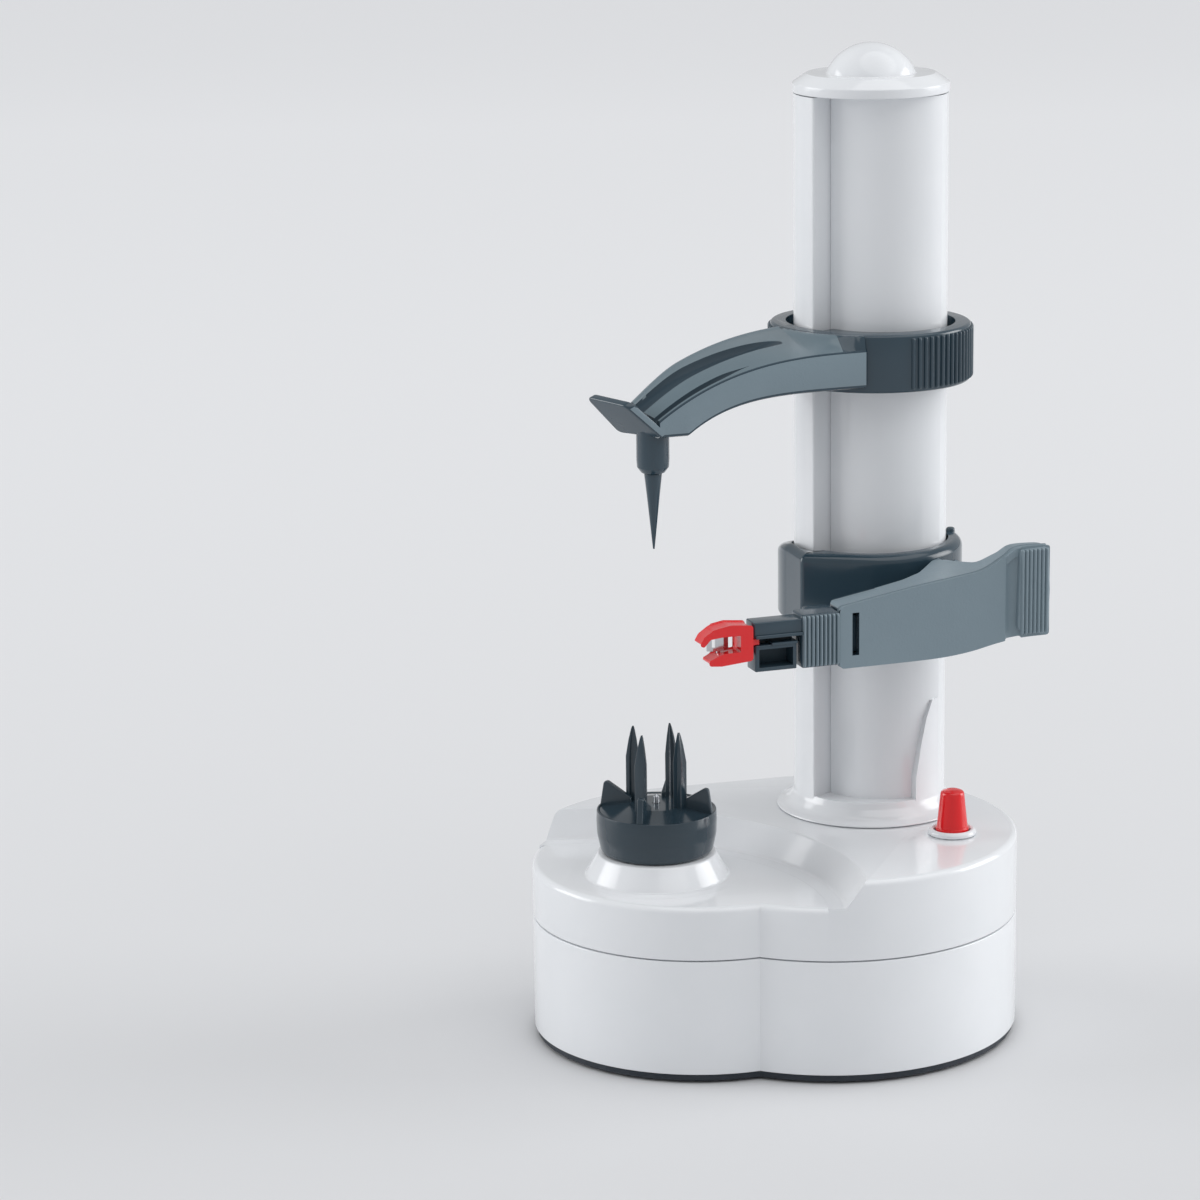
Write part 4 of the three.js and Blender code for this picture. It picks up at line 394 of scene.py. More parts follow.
metals = {  # the same, with the scale of the grain
    "springSteel": ((205, 207, 210), (190, 193, 197), (0.2, 0.32), 0.06, 0.01, 1500),
    "shaftSteel": ((196, 199, 203), (176, 180, 186), (0.22, 0.34), 0.08, 0.01, 1500),
    "bladeSteel": ((214, 216, 219), (196, 199, 203), (0.16, 0.26), 0.05, 0.01, 1800),
    "chassisSteel": ((184, 188, 192), (170, 175, 180), (0.34, 0.46), 0.1, 0.01, 800),
    "brassSatin": ((198, 168, 96), (180, 150, 84), (0.26, 0.38), 0.06, 0.01, 1200),
}
materials = {name: plastic(name, *values, **more) for name, (*values, more) in finishes.items()}
materials.update({name: plastic(name, *values, metallic=1.0) for name, values in metals.items()})
slotFinishes = {
    "white_plastic": "whiteGloss",
    "arm_plastic": "armSatinPaintedSheen",
    "holder_plastic": "holderGloss",
    "red_plastic": "redGloss",
    "base_plate": "baseBlack",
    "foot_rubber": "footRubber",
    "cell_sleeve": "cellSleeve",
    "spring_steel": "springSteel",
    "shaft_steel": "shaftSteel",
    "blade_steel": "bladeSteel",
    "chassis_steel": "chassisSteel",
    "motor_steel": "chassisSteel",
    "brass": "brassSatin",
    "gear_nylon": "gearNylon",
    "switch_black": "switchBlack",
}
for part in frame["record"]["subparts"]:
    node = frame["nodes"][part["node"]]
    node.data.materials.clear()
    node.data.materials.append(materials[slotFinishes[part["material_slot"]]])
print("materials ready")


# Base housing
lobes = {"left": (12.6, 14.6, 49.4), "right": (51.3, 18.8, 55.7), "rightSteps": 116, "leftSteps": 92}
shell = {
    "underside": 2.5,
    "undersideEdge": 0.4,
    "split": 36.8,
    "groove": 0.4,
    "splitEdge": 0.35,
    "floor": 52.7,
    "deck": 60.7,
    "edge": 1.8,
    "wall": 2.2,
    "recess": (-20, -38),
    "recessTop": 79,
    "recessFloor": 73.2,
    "recessFoot": 1.6,
    "recessLip": 1,
    "toolSpan": (20, 70),
    "pedestal": [
        (0, 45), (25, 45), (25, 52.72), (21, 52.72, 0.9),
        (17.3, 59.4, 0.7), (15.7, 59.6, 0.4), (0, 59.6),
    ],
    "apart": 0.02,  # keeps faces that would coincide apart
    "spindleHole": (6.8, 45, 65, 48),
    "columnHole": (19.2, 50, 65, 72),
    "switchHole": (6.4, 50, 65, 48),
}


def baseOutline(inset):
    (lx, ly, lr), (rx, ry, rr) = lobes["left"], lobes["right"]
    apart = math.hypot(rx - lx, ry - ly)
    heading = math.atan2(ry - ly, rx - lx)
    a, b = lr - inset, rr - inset
    along = (apart * apart + a * a - b * b) / (2 * apart)
    leftCrease = heading - math.acos(along / a)
    rightCrease = heading - math.acos((along - apart) / b)
    tangent = heading + math.acos((lr - rr) / apart)
    right, left = lobes["rightSteps"], lobes["leftSteps"]
    end = leftCrease + 2 * math.pi
    points = [polar(b, between(rightCrease, tangent, i / right), (rx, ry)) for i in range(right + 1)]
    return points + [polar(a, between(tangent, end, i / left), (lx, ly)) for i in range(left)]


def baseStack(name, levels, loop=False):
    return skinOf(name, [[(x, y, z) for x, y in baseOutline(inset)] for inset, z in levels], loop)


def recessTool(name, grow, foot, lip):
    low, high = shell["toolSpan"]
    top, floor = shell["recessTop"] + grow, shell["recessFloor"] + grow
    base, deck = shell["floor"] + shell["apart"] - grow, shell["deck"] + shell["apart"] - grow * 0.9
    path = [(0, low), (floor - 5, low), (floor - 5, base), (floor, base, foot), (top, deck, lip)]
    path += [(top + 6, deck), (top + 6, high), (0, high)]
    return lathe(name, path, 8, 256, shell["recess"])


def makeUpperHousing():
    splitTop, wall = shell["split"] + shell["groove"] / 2, shell["wall"]
    ends = (shell["splitEdge"], shell["edge"], 8)
    high = baseStack("upperHousing", edgeLevels(splitTop, shell["deck"], *ends))
    cut(high, recessTool("recess", 0, shell["recessFoot"], shell["recessLip"]))
    lowLevels = [(inset + shell["apart"], z) for inset, z in edgeLevels(splitTop, shell["floor"], *ends)]
    join(high, baseStack("lowDeck", lowLevels), lathe("pedestal", shell["pedestal"], 8, 144))
    room = baseStack("room", [(wall, splitTop - 3), (wall, shell["floor"] - wall)])
    attic = baseStack("attic", [(wall, splitTop - 2), (wall, shell["deck"] - wall)])
    cut(attic, recessTool("atticRecess", wall, 0, 0))
    places = {"spindleHole": (0, 0), "columnHole": columnPlace[:2], "switchHole": switchPlace[:2]}
    return cut(high, room, attic, *(drum(name, *shell[name], place) for name, place in places.items()))


finish(makeUpperHousing(), baseSpace, "base", "whiteGloss", ["upper_housing"], 28)

splitLow = shell["split"] - shell["groove"] / 2
lowerLevels = edgeLevels(shell["underside"], splitLow, shell["undersideEdge"], shell["splitEdge"])
lowerLevels += [(shell["wall"], lowerLevels[-1][1]), (shell["wall"], lowerLevels[0][1])]
lowerHousing = mergeDoubles(baseStack("lowerHousing", lowerLevels, loop=True))
finish(lowerHousing, baseSpace, "base", "whiteGloss", ["lower_housing"], 35)
print("housing ready")


# Column and cap
columnSizes = {
    "radius": 22.6,
    "faceRadius": 20.6,
    "face": (4.8, 1.1),
    "stepAngle": -159.2,
    "stepCorner": 0.7,
    "faceStart": -163,
    "creaseHalf": 0.5,
    "creaseDepth": 0.7,
    "backSteps": 120,
    "faceSteps": 56,
    "bore": (16, 50, 290, 96, (2.5, 0.6)),
    "low": 61,
    "high": 275.6,
    "slot": (-4.5, 4.5, 5, 30, 68, 266),
    "collar": [
        (0, 61), (27.9, 61, 0.15), (27.6, 61.5, 0.2), (24.9, 62.5, 4),
        (23, 65.2, 2.5), (22.3, 67), (0, 67),
    ],
    "shoulder": (18.9, 56.6, 62),
    "cam": ((61, -75), (73.7, -74.5), (82.9, -70), (91.4, -64), (96.3, -57)),
    "camRight": -42,
    "camRadii": (17.5, 22.58),
    "camSteps": 14,
}


def columnOutline(grow=0.0):
    c = columnSizes
    radius, face = c["radius"] + grow, c["faceRadius"] + grow
    fx, fy = c["face"]
    shift, heading = math.hypot(fx, fy), math.atan2(fy, fx)
    cosine = (radius * radius - face * face - shift * shift) / (2 * shift * face)
    end = heading - math.acos(min(1, cosine))
    backStart = math.atan2(fy + face * math.sin(end), fx + face * math.cos(end))
    backEnd = math.radians(c["stepAngle"] + 360) + grow / radius
    faceStart = math.radians(c["faceStart"]) + grow / face
    corner, faceSteps = c["backSteps"], c["faceSteps"]
    points = [polar(radius, between(backStart, backEnd, i / corner)) for i in range(corner + 1)]
    points += [polar(face, between(faceStart, end, i / faceSteps), (fx, fy)) for i in range(faceSteps)]
    path = [(*p, c["stepCorner"] if i == corner else 0) for i, p in enumerate(points)]
    crease = Vector(points[corner + 1])
    along = [(Vector(points[corner + i]) - crease).normalized() * c["creaseHalf"] for i in (0, 4)]
    inwards = crease.normalized() * (c["creaseDepth"] if grow == 0 else 0)
    groove = [crease + along[0], crease - inwards, crease + along[1]]
    path[corner + 1 : corner + 3] = [(*p, 0.05) for p in groove]
    del path[corner - 1]
    return rounded(path, steps=4)


def makeColumn():
    c = columnSizes
    column = skinOf("column", [[(x, y, z) for x, y in columnOutline()] for z in (c["low"], c["high"])])
    collar = lathe("collar", c["collar"], 6, 144)
    inner, outer = c["camRadii"]
    camRings = []
    steps = c["camSteps"]
    for z, left in c["cam"]:
        angles = [math.radians(between(left, c["camRight"], i / steps)) for i in range(steps + 1)]
        ring = [(*polar(outer, angle), z) for angle in angles]
        camRings.append(ring + [(*polar(inner, angle), z) for angle in (angles[-1], angles[0])])
    join(column, collar, drum("shoulder", *c["shoulder"]), skinOf("cam", camRings))
    return cut(column, drum("bore", *c["bore"]), boxOf("slot", *c["slot"], 0, 1.2))


finish(makeColumn(), columnSpace, "base", "whiteGloss", ["column"])

capSizes = {
    "rim": [(0, 275.9), (22.9, 275.9, 0.35), (22.9, 278.6, 0.6), (18.9, 281.3, 0.5), (13.35, 281.15, 0.2)],
    "dome": 13.1,
    "ledge": 281.3,
    "top": 290,
    "steps": 24,
}


def makeCap():
    dome, ledge, top, steps = (capSizes[size] for size in ("dome", "ledge", "top", "steps"))
    rise = top - ledge
    sphere = (dome**2 + rise * rise) / (2 * rise)
    spread = math.asin(dome / sphere)
    profile = rounded(capSizes["rim"] + [(dome, ledge)], closed=False, steps=5)
    for i in range(1, steps + 1):
        angle = spread * (1 - i / steps)
        profile.append((sphere * math.sin(angle), top - sphere * (1 - math.cos(angle))))
    return turned("columnCap", profile, 128)


finish(makeCap(), columnSpace, "base", "whiteGloss", ["column_cap"])
print("column ready")


# Geometry Nodes: one bar repeated along a path, used for ribs
def barRowTree():
    tree = bpy.data.node_groups.new("barRow", "GeometryNodeTree")
    kinds = {"Path": "Geometry", "Bar": "Object", "Count": "Int", "Finish": "Material"}
    for label, kind in kinds.items():
        tree.interface.new_socket(name=label, in_out="INPUT", socket_type="NodeSocket" + kind)
    tree.interface.new_socket(name="Bars", in_out="OUTPUT", socket_type="NodeSocketGeometry")
    given, result = tree.nodes.new("NodeGroupInput"), tree.nodes.new("NodeGroupOutput")
    points = tree.nodes.new("GeometryNodeCurveToPoints")
    turn = tree.nodes.new("FunctionNodeAlignRotationToVector")
    turn.axis, turn.pivot_axis = "X", "Z"
    shape = tree.nodes.new("GeometryNodeObjectInfo")
    place = tree.nodes.new("GeometryNodeInstanceOnPoints")
    real = tree.nodes.new("GeometryNodeRealizeInstances")
    coat = tree.nodes.new("GeometryNodeSetMaterial")
    for source, output, target, label in (
        (given, "Path", points, "Curve"),
        (given, "Count", points, "Count"),
        (given, "Bar", shape, "Object"),
        (points, "Points", place, "Points"),
        (points, "Tangent", turn, "Vector"),
        (turn, "Rotation", place, "Rotation"),
        (shape, "Geometry", place, "Instance"),
        (place, "Instances", real, "Geometry"),
        (real, "Geometry", coat, "Geometry"),
        (given, "Finish", coat, "Material"),
        (coat, "Geometry", result, "Bars"),
    ):
        tree.links.new(source.outputs[output], target.inputs[label])
    return tree


barRow = barRowTree()


def repeatAlong(name, path, bar, count, look):
    curve = bpy.data.curves.new(name, "CURVE")
    curve.dimensions = "3D"
    spline = curve.splines.new("POLY")
    spline.points.add(len(path) - 1)
    for point, place in zip(spline.points, path):
        point.co = (*place, 1)
    row = added(name, curve)
    modifier = row.modifiers.new("repeat", "NODES")
    modifier.node_group = barRow
    sockets = {item.name: item.identifier for item in barRow.interface.items_tree if item.in_out == "INPUT"}
    modifier[sockets["Bar"]] = bar
    modifier[sockets["Count"]] = count
    modifier[sockets["Finish"]] = materials[look]
    mesh = plainMesh(row)
    row.modifiers.clear()
    bars = added(name, mesh)
    bpy.data.objects.remove(row)
    bpy.data.objects.remove(bar)
    return bars


def barOf(width, depth, low, high, sides=8, root=0.4):  # a half-round bar, standing, round side towards -Y
    half, edge, rings = width / 2, depth * 0.8, []
    for inset, z in edgeLevels(low, high, edge, edge):
        reach = -depth * (1 - inset / depth * 0.9)
        turns = [math.pi * i / sides for i in range(sides + 1)]
        ring = [(half * math.cos(turn), reach * math.sin(turn), z) for turn in turns]
        rings.append(ring + [(-half, root, z), (half, root, z)])
    return mergeDoubles(skinOf("bar", rings))


def straightRibs(name, sizes):
    path = [(between(*sizes["ribSpan"], i / 8), sizes["ribFront"], 0) for i in range(9)]
    return repeatAlong(name, path, barOf(*sizes["ribSize"]), sizes["ribs"], "armSatinPaintedSheen")


# Upper arm
upperArm = {
    "ringLow": 191.6,
    "ringHigh": 208.6,
    "ringRadii": (29.8, 27.4),
    "ringBore": (25.2, 23),
    "ringHeading": math.radians(-43),
    "ringEdge": 1,
    "ringFront": 28.6,
    "keyTurns": range(-155, -51, 4),
    "keyInset": 0.6,
    "columnGap": 0.4,
    "ribs": 24,
    "ribSize": (1.2, 0.75),
    "ribInset": 0.9,
    "padHalf": math.radians(44),
    "root": -12.3,
    "tip": -75.6,
    "front": -26.4,
    "plate": (204.6, 15.9, 2.85),  # height at the root, fall to the tip and its power
    "bottom": (193.5, 9.8, 4.2, 0.86),  # the same, and the share where the fall ends
    "ridge": (208.8, 15.2, 3),
    "ridgeLine": (4, -8.6),
    "ridgeSize": (3.3, 3.52),
    "ridgeShift": -0.44,
    "ridgeTurn": 112,
    "ridgeSteps": 11,
    "ridgeDrop": (0.78, 1.15, 4.995),
    "endSlope": (0.42, 0.4, 12.5),
    "toe": ((0.9, 0), (0.25, 0.3), (0, 1)),
    "edge": 0.5,
    "swell": (0.9, 0.3, 0.15, 0.5),
    "fade": 0.2,
    "wall": 2,
    "hollowShare": 0.84,
    "scoop": {"start": 0.33, "middle": (0.41, 0.7), "least": 0.004, "half": 0.22, "power": 0.4, "depth": 1.8},
    "groove": {"start": 0.55, "full": 0.71, "middle": 0.09, "least": 0.003, "half": 0.05, "depth": 1.3},
    "strips": (3, 6, 12, 18, 9),
    "stations": 72,
    "boss": [(0, 172.6), (3.4, 172.6, 0.3), (4.6, 174.2, 0.5), (4.75, 176.5), (4.75, 187), (0, 187)],
    "spike": [(0, 150), (0.25, 150.1), (1.9, 166), (2.6, 172.3, 0.2), (2.3, 172.4), (2.3, 184), (0, 184)],
    "flap": ((-75, -26.4, 183.8), (-83.8, -14.1, 183.8), (-85.9, -26.4, 193.8), (-91.9, -8.6, 193.8)),
    "flapOutline": [(0, 0, 0.05), (1, 0, 0.12), (1, 1, 0.12), (0, 1, 0.12)],  # as shares of its sides
    "flapEdge": (0.25, 0.16),
    "flapBack": (2.2, 0, 1.1),
    "flapDish": (0.4, 0, -0.72),
    "paintFront": (-0.96, 0.12),
    "paintTop": {"from": 0.11, "to": 1.04, "upward": 0.2, "front": 0.45, "back": 1.7},
}


def ellipsePoint(radii, angle, grow=0.0):
    local = angle - upperArm["ringHeading"]
    reach = radii[0] * radii[1] / math.hypot(radii[1] * math.cos(local), radii[0] * math.sin(local)) + grow
    return polar(reach, angle)


def ellipsePath(radii, count, grow=0.0):
    return [ellipsePoint(radii, math.radians(i * 360 / count), grow) for i in range(count)]


def armStrips(share):  # where the groove and the scoop begin and end across the top, from 0 in front to 1
    groove, scoop = upperArm["groove"], upperArm["scoop"]
    wide = groove["least"] + groove["half"] * smoothStep(share, groove["start"], groove["full"])
    along = max(0, (share - scoop["start"]) / (1 - scoop["start"]))
    deep = scoop["least"] + scoop["half"] * along ** scoop["power"]
    middle = between(*scoop["middle"], share)
    return (0, groove["middle"] - wide, groove["middle"] + wide, middle - deep, middle + deep, 1)


def armSection(share, inset=0.0, detail=True):
    a = upperArm
    x = between(a["root"], a["tip"], share)
    low = a["bottom"][0] - a["bottom"][1] * min(1, share / a["bottom"][3]) ** a["bottom"][2]
    top, ridge = (a[k][0] - a[k][1] * share ** a[k][2] - inset for k in ("plate", "ridge"))
    dropStart, dropEnd, drop = a["ridgeDrop"]
    ridge -= drop * smoothStep(share, dropStart, dropEnd)
    ridgeY = between(*a["ridgeLine"], share) + a["ridgeShift"] - inset
    ridgeWide, ridgeTall = a["ridgeSize"]
    front, edge, under = a["front"] + inset, a["edge"], low - inset * 4
    points = [(front + back, under + up) for back, up in a["toe"]]
    points += [(front, top - edge), (front + edge * 0.3, top - edge * 0.3)]
    arc = []
    for i in range(a["ridgeSteps"] + 1):
        angle = math.radians(a["ridgeTurn"] * (1 - i / a["ridgeSteps"]))
        arc.append((ridgeY + ridgeWide * math.cos(angle), ridge + ridgeTall * (math.sin(angle) - 1)))
    start, end = Vector((front + edge, top)), Vector(arc[0])
    ringFront = -math.sqrt(max(0, a["ringFront"] ** 2 - x * x))  # from here on level with the ring's top
    rise = min(1, max(0.03, (ringFront - start.x) / (end.x - start.x))) if x > -a["ringFront"] else 1
    swell, swellFade, *swellSpan = a["swell"]
    swell *= (1 - swellFade * share) * smoothStep(share, *swellSpan)
    marks = armStrips(share)
    for k, count in enumerate(a["strips"]):
        deep = {1: a["groove"], 3: a["scoop"]}.get(k) if detail else None
        for i in range(count):
            t = i / count
            s = between(marks[k], marks[k + 1], t)
            z = between(start.y, end.y, min(1, s / rise)) + swell * math.sin(math.pi * s)
            if deep:
                fade = smoothStep(share, deep["start"], deep["start"] + a["fade"])
                z -= deep["depth"] * fade * (1 - abs(2 * t - 1) ** 3)
            points.append((between(start.x, end.x, s), z))
    points += arc
    points += [(arc[-1][0], under + 0.5), (arc[-1][0] - 0.4, under)]
    lean, upright, leanReach = a["endSlope"]
    lean *= share**6 if detail else 0
    tall = max(1.0, ridge - low)
    section = []
    for y, z in points:
        back = lean * min(leanReach, y - a["front"]) * (1 - upright * min(1, (z - low) / tall))
        section.append((x - back, y, z))
    return section


def makeFlap():
    a, b, c, d = (Vector(corner) for corner in upperArm["flap"])
    dish, back = Vector(upperArm["flapDish"]), Vector(upperArm["flapBack"])
    edge, edgeInset = upperArm["flapEdge"]
    outline = rounded(upperArm["flapOutline"])
    rings = []
    for inset, depth in edgeLevels(0, 1, edge, edge):
        ring = []
        for s, t in insetPath(outline, inset * edgeInset):
            point = a.lerp(b, s).lerp(c.lerp(d, s), t)
            ring.append(point + dish * math.sin(math.pi * t) + back * depth)
        rings.append(ring)
    return mergeDoubles(skinOf("flap", rings))


def makeUpperArm():
    a = upperArm
    low, high = a["ringLow"], a["ringHigh"]
    band = plate("upperArm", ellipsePath(a["ringRadii"], 180), low, high, a["ringEdge"])
    stations = [i / a["stations"] for i in range(a["stations"] + 1)]
    beam = mergeDoubles(skinOf("beam", [armSection(share) for share in stations]))
    hollowRings = [armSection(share * a["hollowShare"], a["wall"], False) for share in stations[::4]]
    cut(beam, mergeDoubles(skinOf("hollow", hollowRings)))
    join(band, beam)
    cut(band, plate("bore", ellipsePath(a["ringBore"], 120), low - 2, high + 2, 0))
    key = plate("key", wedge(40, a["keyTurns"]), low + a["keyInset"], high - a["keyInset"], 0)
    meet(key, plate("keyRing", ellipsePath(a["ringRadii"], 120, -1.4), low, high, 0))
    join(band, key, lathe("boss", a["boss"], 4, 72, fruitPlace[:2]), makeFlap())
    return cut(band, plate("clearance", columnOutline(a["columnGap"]), low - 2, high + 2, 0))


def armFrontTest(facing, place):  # the arm's flat front, which gets the painted reflection
    turn, reach = upperArm["paintFront"]
    return facing.y < turn and abs(place.y - upperArm["front"]) < reach


def armTopPlace(facing, place):  # how far along and across the arm's top, if it is the top
    a, limits = upperArm, upperArm["paintTop"]
    share = (place.x - a["root"]) / (a["tip"] - a["root"])
    ringReach = Vector(ellipsePoint(a["ringRadii"], math.atan2(place.y, place.x))).length
    if not limits["from"] < share < limits["to"] or facing.z < limits["upward"]:
        return None
    if place.xy.length < ringReach or place.y < a["front"] + limits["front"]:
        return None
    share, front = min(1, share), a["front"] + a["edge"]
    return share, (place.y - front) / (between(*a["ridgeLine"], share) - limits["back"] - front)


def armHollowTest(facing, place):  # the groove and the scoop, which get painted shade
    found = armTopPlace(facing, place)
    if not found:
        return False
    share, s = found
    marks, a = armStrips(share), upperArm
    inScoop = share > a["scoop"]["start"] and marks[3] < s < marks[4]
    return inScoop or share > a["groove"]["start"] and marks[1] < s < marks[2]


upperPiece = finish(makeUpperArm(), columnSpace, "upper_arm", "armGloss", ["upper_arm"])
# painted reflection: the flat front takes the lighter copy of the arm plastic
paint(upperPiece, "armSatinPaintedSheen", armFrontTest)
# painted light on the upward-facing top of the arm
paint(upperPiece, "armTopPaintedLight", lambda facing, place: armTopPlace(facing, place) is not None)
# painted shade in the groove and the scoop
paint(upperPiece, "armPaintedShade", armHollowTest)
for side in (0, 1):
    a = upperArm
    middle, padHalf = a["ringHeading"] + side * math.pi, a["padHalf"]
    turns = [between(middle - padHalf, middle + padHalf, i / 96) for i in range(97)]
    path = [(*ellipsePoint(a["ringRadii"], angle, -0.1), 0) for angle in turns]
    width, depth = a["ribSize"]
    bar = barOf(width, depth + 0.1, a["ringLow"] + a["ribInset"], a["ringHigh"] - a["ribInset"])
    ribs = repeatAlong("ringRibs" + "AB"[side], path, bar, a["ribs"], "armGloss")
    finish(ribs, columnSpace, "upper_arm", "armGloss", sharp=35)

spike = lathe("spike", upperArm["spike"], 3, 64, fruitPlace[:2])
finish(spike, columnSpace, "spike", "armGloss", ["spike"])
print("upper arm ready")


# Blade arm
bladeArm = {
    "low": 120.5,
    "high": 143.4,
    "radius": 27.4,
    "bore": (23.3, 110, 160, 144),
    "corner": (31.9, -151.8),
    "cornerSpan": (-176, -112),
    "cornerRadius": 1.6,
    "ringSteps": 120,
    "edge": 1.3,
    "topEdge": 2.5,
    "backSlope": 0.2,
    "lugRadii": (20.6, 24.3),
    "lugTurns": (-141, -130, -118, -106),
    "lugSpan": (120.7, 141.9),
    "post": [(0, 140.4), (1.3, 140.4), (1.3, 144.4, 0.8), (0, 144.4)],
    "postPlace": (25.2, -2.2),
    "groove": (25.6, 120, 140),
    "grooveTurns": (64, 90, 116),
    "grooveSpan": (127, 135),
    "front": -51.3,
    "back": -41.6,
    "wall": 2.2,
    "deck": [
        (-30.2, -51, 0.8), (34, -51, 1), (34, -44.8, 2), (22.6, -44.3, 4), (15.9, -41.3, 4), (11.5, -30, 3),
        (8.6, -27.2, 1.5), (7.3, -28.6, 1.5), (0.2, -36.3, 6), (-6.3, -39.3, 8), (-30.1, -41.6, 1.5),
    ],
    "block": (-30.2, -15, -51.1, -41.6, 112, 142),
    "webs": ((8.8, 11.4, -50.3, -24.3, 110, 150), (17, 19.6, -50.3, -16, 110, 138.5)),
    "valley": (3.6, 110, 155, 72, (23.3, -53.9)),
    "window": (-26.9, -24.8, -53.3, -48.3, 121.4, 133.9),
    "socket": (-32.2, -17.4, -48.9, -44.1, 121.5, 132.9),
    "ribs": 7,
    "ribSize": (1.05, 0.75, 122.9, 147.9),
    "ribSpan": (25.7, 33.4),
    "ribFront": -52.2,
    "pad": [
        (24.4, 123.4, 2.5), (33.2, 122.4, 1.2), (34.3, 124.5, 3), (34.65, 135.5, 14),
        (34.2, 147.4, 1.8), (33, 148.2, 1), (25, 147.9, 1.5),
    ],
    "padSpan": (-52.3, -45.8),
    "paint": {"depth": 2.4, "facing": 0.5, "front": -19, "low": 134, "ring": 27.6},
}
leverTop = [(34.2, 148), (25, 148), (20.5, 145.4), (14.3, 142.2), (6, 140.8), (-8, 138.9), (-30.2, 135.2)]
leverBottom = [(-30.2, 118.3), (-8, 118.4), (2, 118.7), (10, 119.6), (18, 121.2), (25, 122.2), (34.2, 122.4)]


def leverSide(topDrop=0.0, corner=1.2):
    path = []
    for line in ([(x, z - topDrop) for x, z in through(leverTop)], through(leverBottom)):
        path += [(*line[0], corner)] + line[1:-1] + [(*line[-1], corner)]
    return rounded(list(reversed(path)), steps=5)


def bladeRingOutline():
    a = bladeArm
    start, end = math.radians(a["cornerSpan"][1]), math.radians(a["cornerSpan"][0] + 360)
    steps = a["ringSteps"]
    path = [polar(a["radius"], between(start, end, i / steps)) for i in range(steps + 1)]
    reach, heading = a["corner"]
    return rounded(path + [(*polar(reach, math.radians(heading)), a["cornerRadius"])], steps=8)


def makeBladeArm():
    a = bladeArm
    front, back, ringLow, ringHigh = a["front"], a["back"], a["low"], a["high"]
    rings = []
    for inset, z in edgeLevels(ringLow, ringHigh, a["edge"], a["topEdge"], 8):
        slope = a["backSlope"] * (z - ringLow) / (ringHigh - ringLow)
        rings.append([(x, y, z - slope * max(0, y)) for x, y in insetPath(bladeRingOutline(), inset)])
    arm = mergeDoubles(skinOf("bladeArm", rings))

    face = plate("leverFace", leverSide(), front, front + a["wall"], 0.55, "Y")
    cut(face, drum("valley", *a["valley"]))
    deck = plate("deck", rounded(a["deck"]), 100, 160, 0)
    meet(deck, plate("deckSide", leverSide(), front + 0.1, 0, 0.55, "Y"))
    under = [(x, z - a["wall"] if z > 130 else z - 12) for x, z in leverSide(0.0, 0.2)]
    cut(deck, plate("underDeck", under, front - 2, 2, 0, "Y"))
    block = boxOf("block", *a["block"], 0, 1.2)
    meet(block, plate("blockSide", leverSide(), front, back, 0.6, "Y"))
    webs = [boxOf("web", *sizes) for sizes in a["webs"]]
    for web in webs:
        meet(web, plate("webSide", leverSide(0.6), front, 0, 0, "Y"))
    join(arm, lathe("post", a["post"], 4, 32, a["postPlace"]), face, deck, block, *webs)
    cut(arm, drum("ringBore", *a["bore"]))

    inner, outer = a["lugRadii"]
    lug = plate("lug", wedge(60, a["lugTurns"]), *a["lugSpan"], 0)
    lugPath = [(inner, ringLow), (outer, ringLow), (outer, ringHigh), (inner, ringHigh)]
    join(arm, meet(lug, turned("lugRing", lugPath, loop=True)))
    groove = plate("groove", wedge(60, a["grooveTurns"]), *a["grooveSpan"], 0)
    meet(groove, drum("grooveRing", *a["groove"]))
    return cut(arm, groove, boxOf("socket", *a["socket"]), boxOf("window", *a["window"]))


def leverTest(facing, place):  # the lever's face and top, which get the painted reflection
    a = bladeArm["paint"]
    if place.y < bladeArm["front"] + a["depth"] and facing.y < -a["facing"]:
        return True
    upward = facing.z > a["facing"] and place.z > a["low"]
    return upward and place.y < a["front"] and place.xy.length > a["ring"]


bladePiece = finish(makeBladeArm(), columnSpace, "blade_arm", "armGloss", ["blade_arm"])
# painted reflection: the lever's face and top take the lighter copy of the arm plastic
paint(bladePiece, "armSatinPaintedSheen", leverTest)

pad = plate("thumbPad", rounded(bladeArm["pad"]), *bladeArm["padSpan"], 0.7, "Y")
# the thumb pad and its ribs take the arm plastic with its painted reflection
for piece in (pad, straightRibs("padRibs", bladeArm)):
    finish(piece, columnSpace, "blade_arm", "armSatinPaintedSheen", sharp=35)
print("blade arm ready")


# Carrier and head
carrier = {
    "boxes": {  # left, right, front, back, low, high, radius of the edges and of the corners
        "bladeCarrier": (-42.4, -30.6, -51.3, -43, 119, 134.6, 0.7, 0.9),
        "tang": (-31, -18, -48.6, -44.4, 121.8, 132.6, 0.3, 0.3),
        "ledge": (-38.4, -30.6, -45, -41, 133.1, 134.6, 0.3, 0.5),
        "upperFork": (-56.8, -42, -51, -44.4, 128.9, 133.6, 0.35, 0.4),
        "shelf": (-56.6, -42, -51.8, -47, 128.9, 129.9, 0.3, 0.3),
        "lowerFork": (-56.5, -43.8, -51, -44.4, 119.2, 126.9, 0.35, 0.5),
        "rearFork": (-56.4, -43.3, -46, -44.5, 125.9, 129.9),
        "tab": (-51.5, -43.6, -51.3, -46, 126.6, 127.4, 0.15, 0.3),
    },
    "pocket": (-55.3, -45, -53, -45.6, 120.4, 125.7, 0, 0.3),
    "pocketRim": 2.5,
    "ribs": 9,
    "ribSize": (0.95, 0.9, 119.35, 134.25),
    "ribSpan": (-41.6, -31.4),
    "ribFront": -51.2,
}


def makeCarrier():
    boxes = {name: boxOf(name, *sizes) for name, sizes in carrier["boxes"].items()}
    cut(boxes["lowerFork"], boxOf("pocket", *carrier["pocket"]))
    return join(*boxes.values())


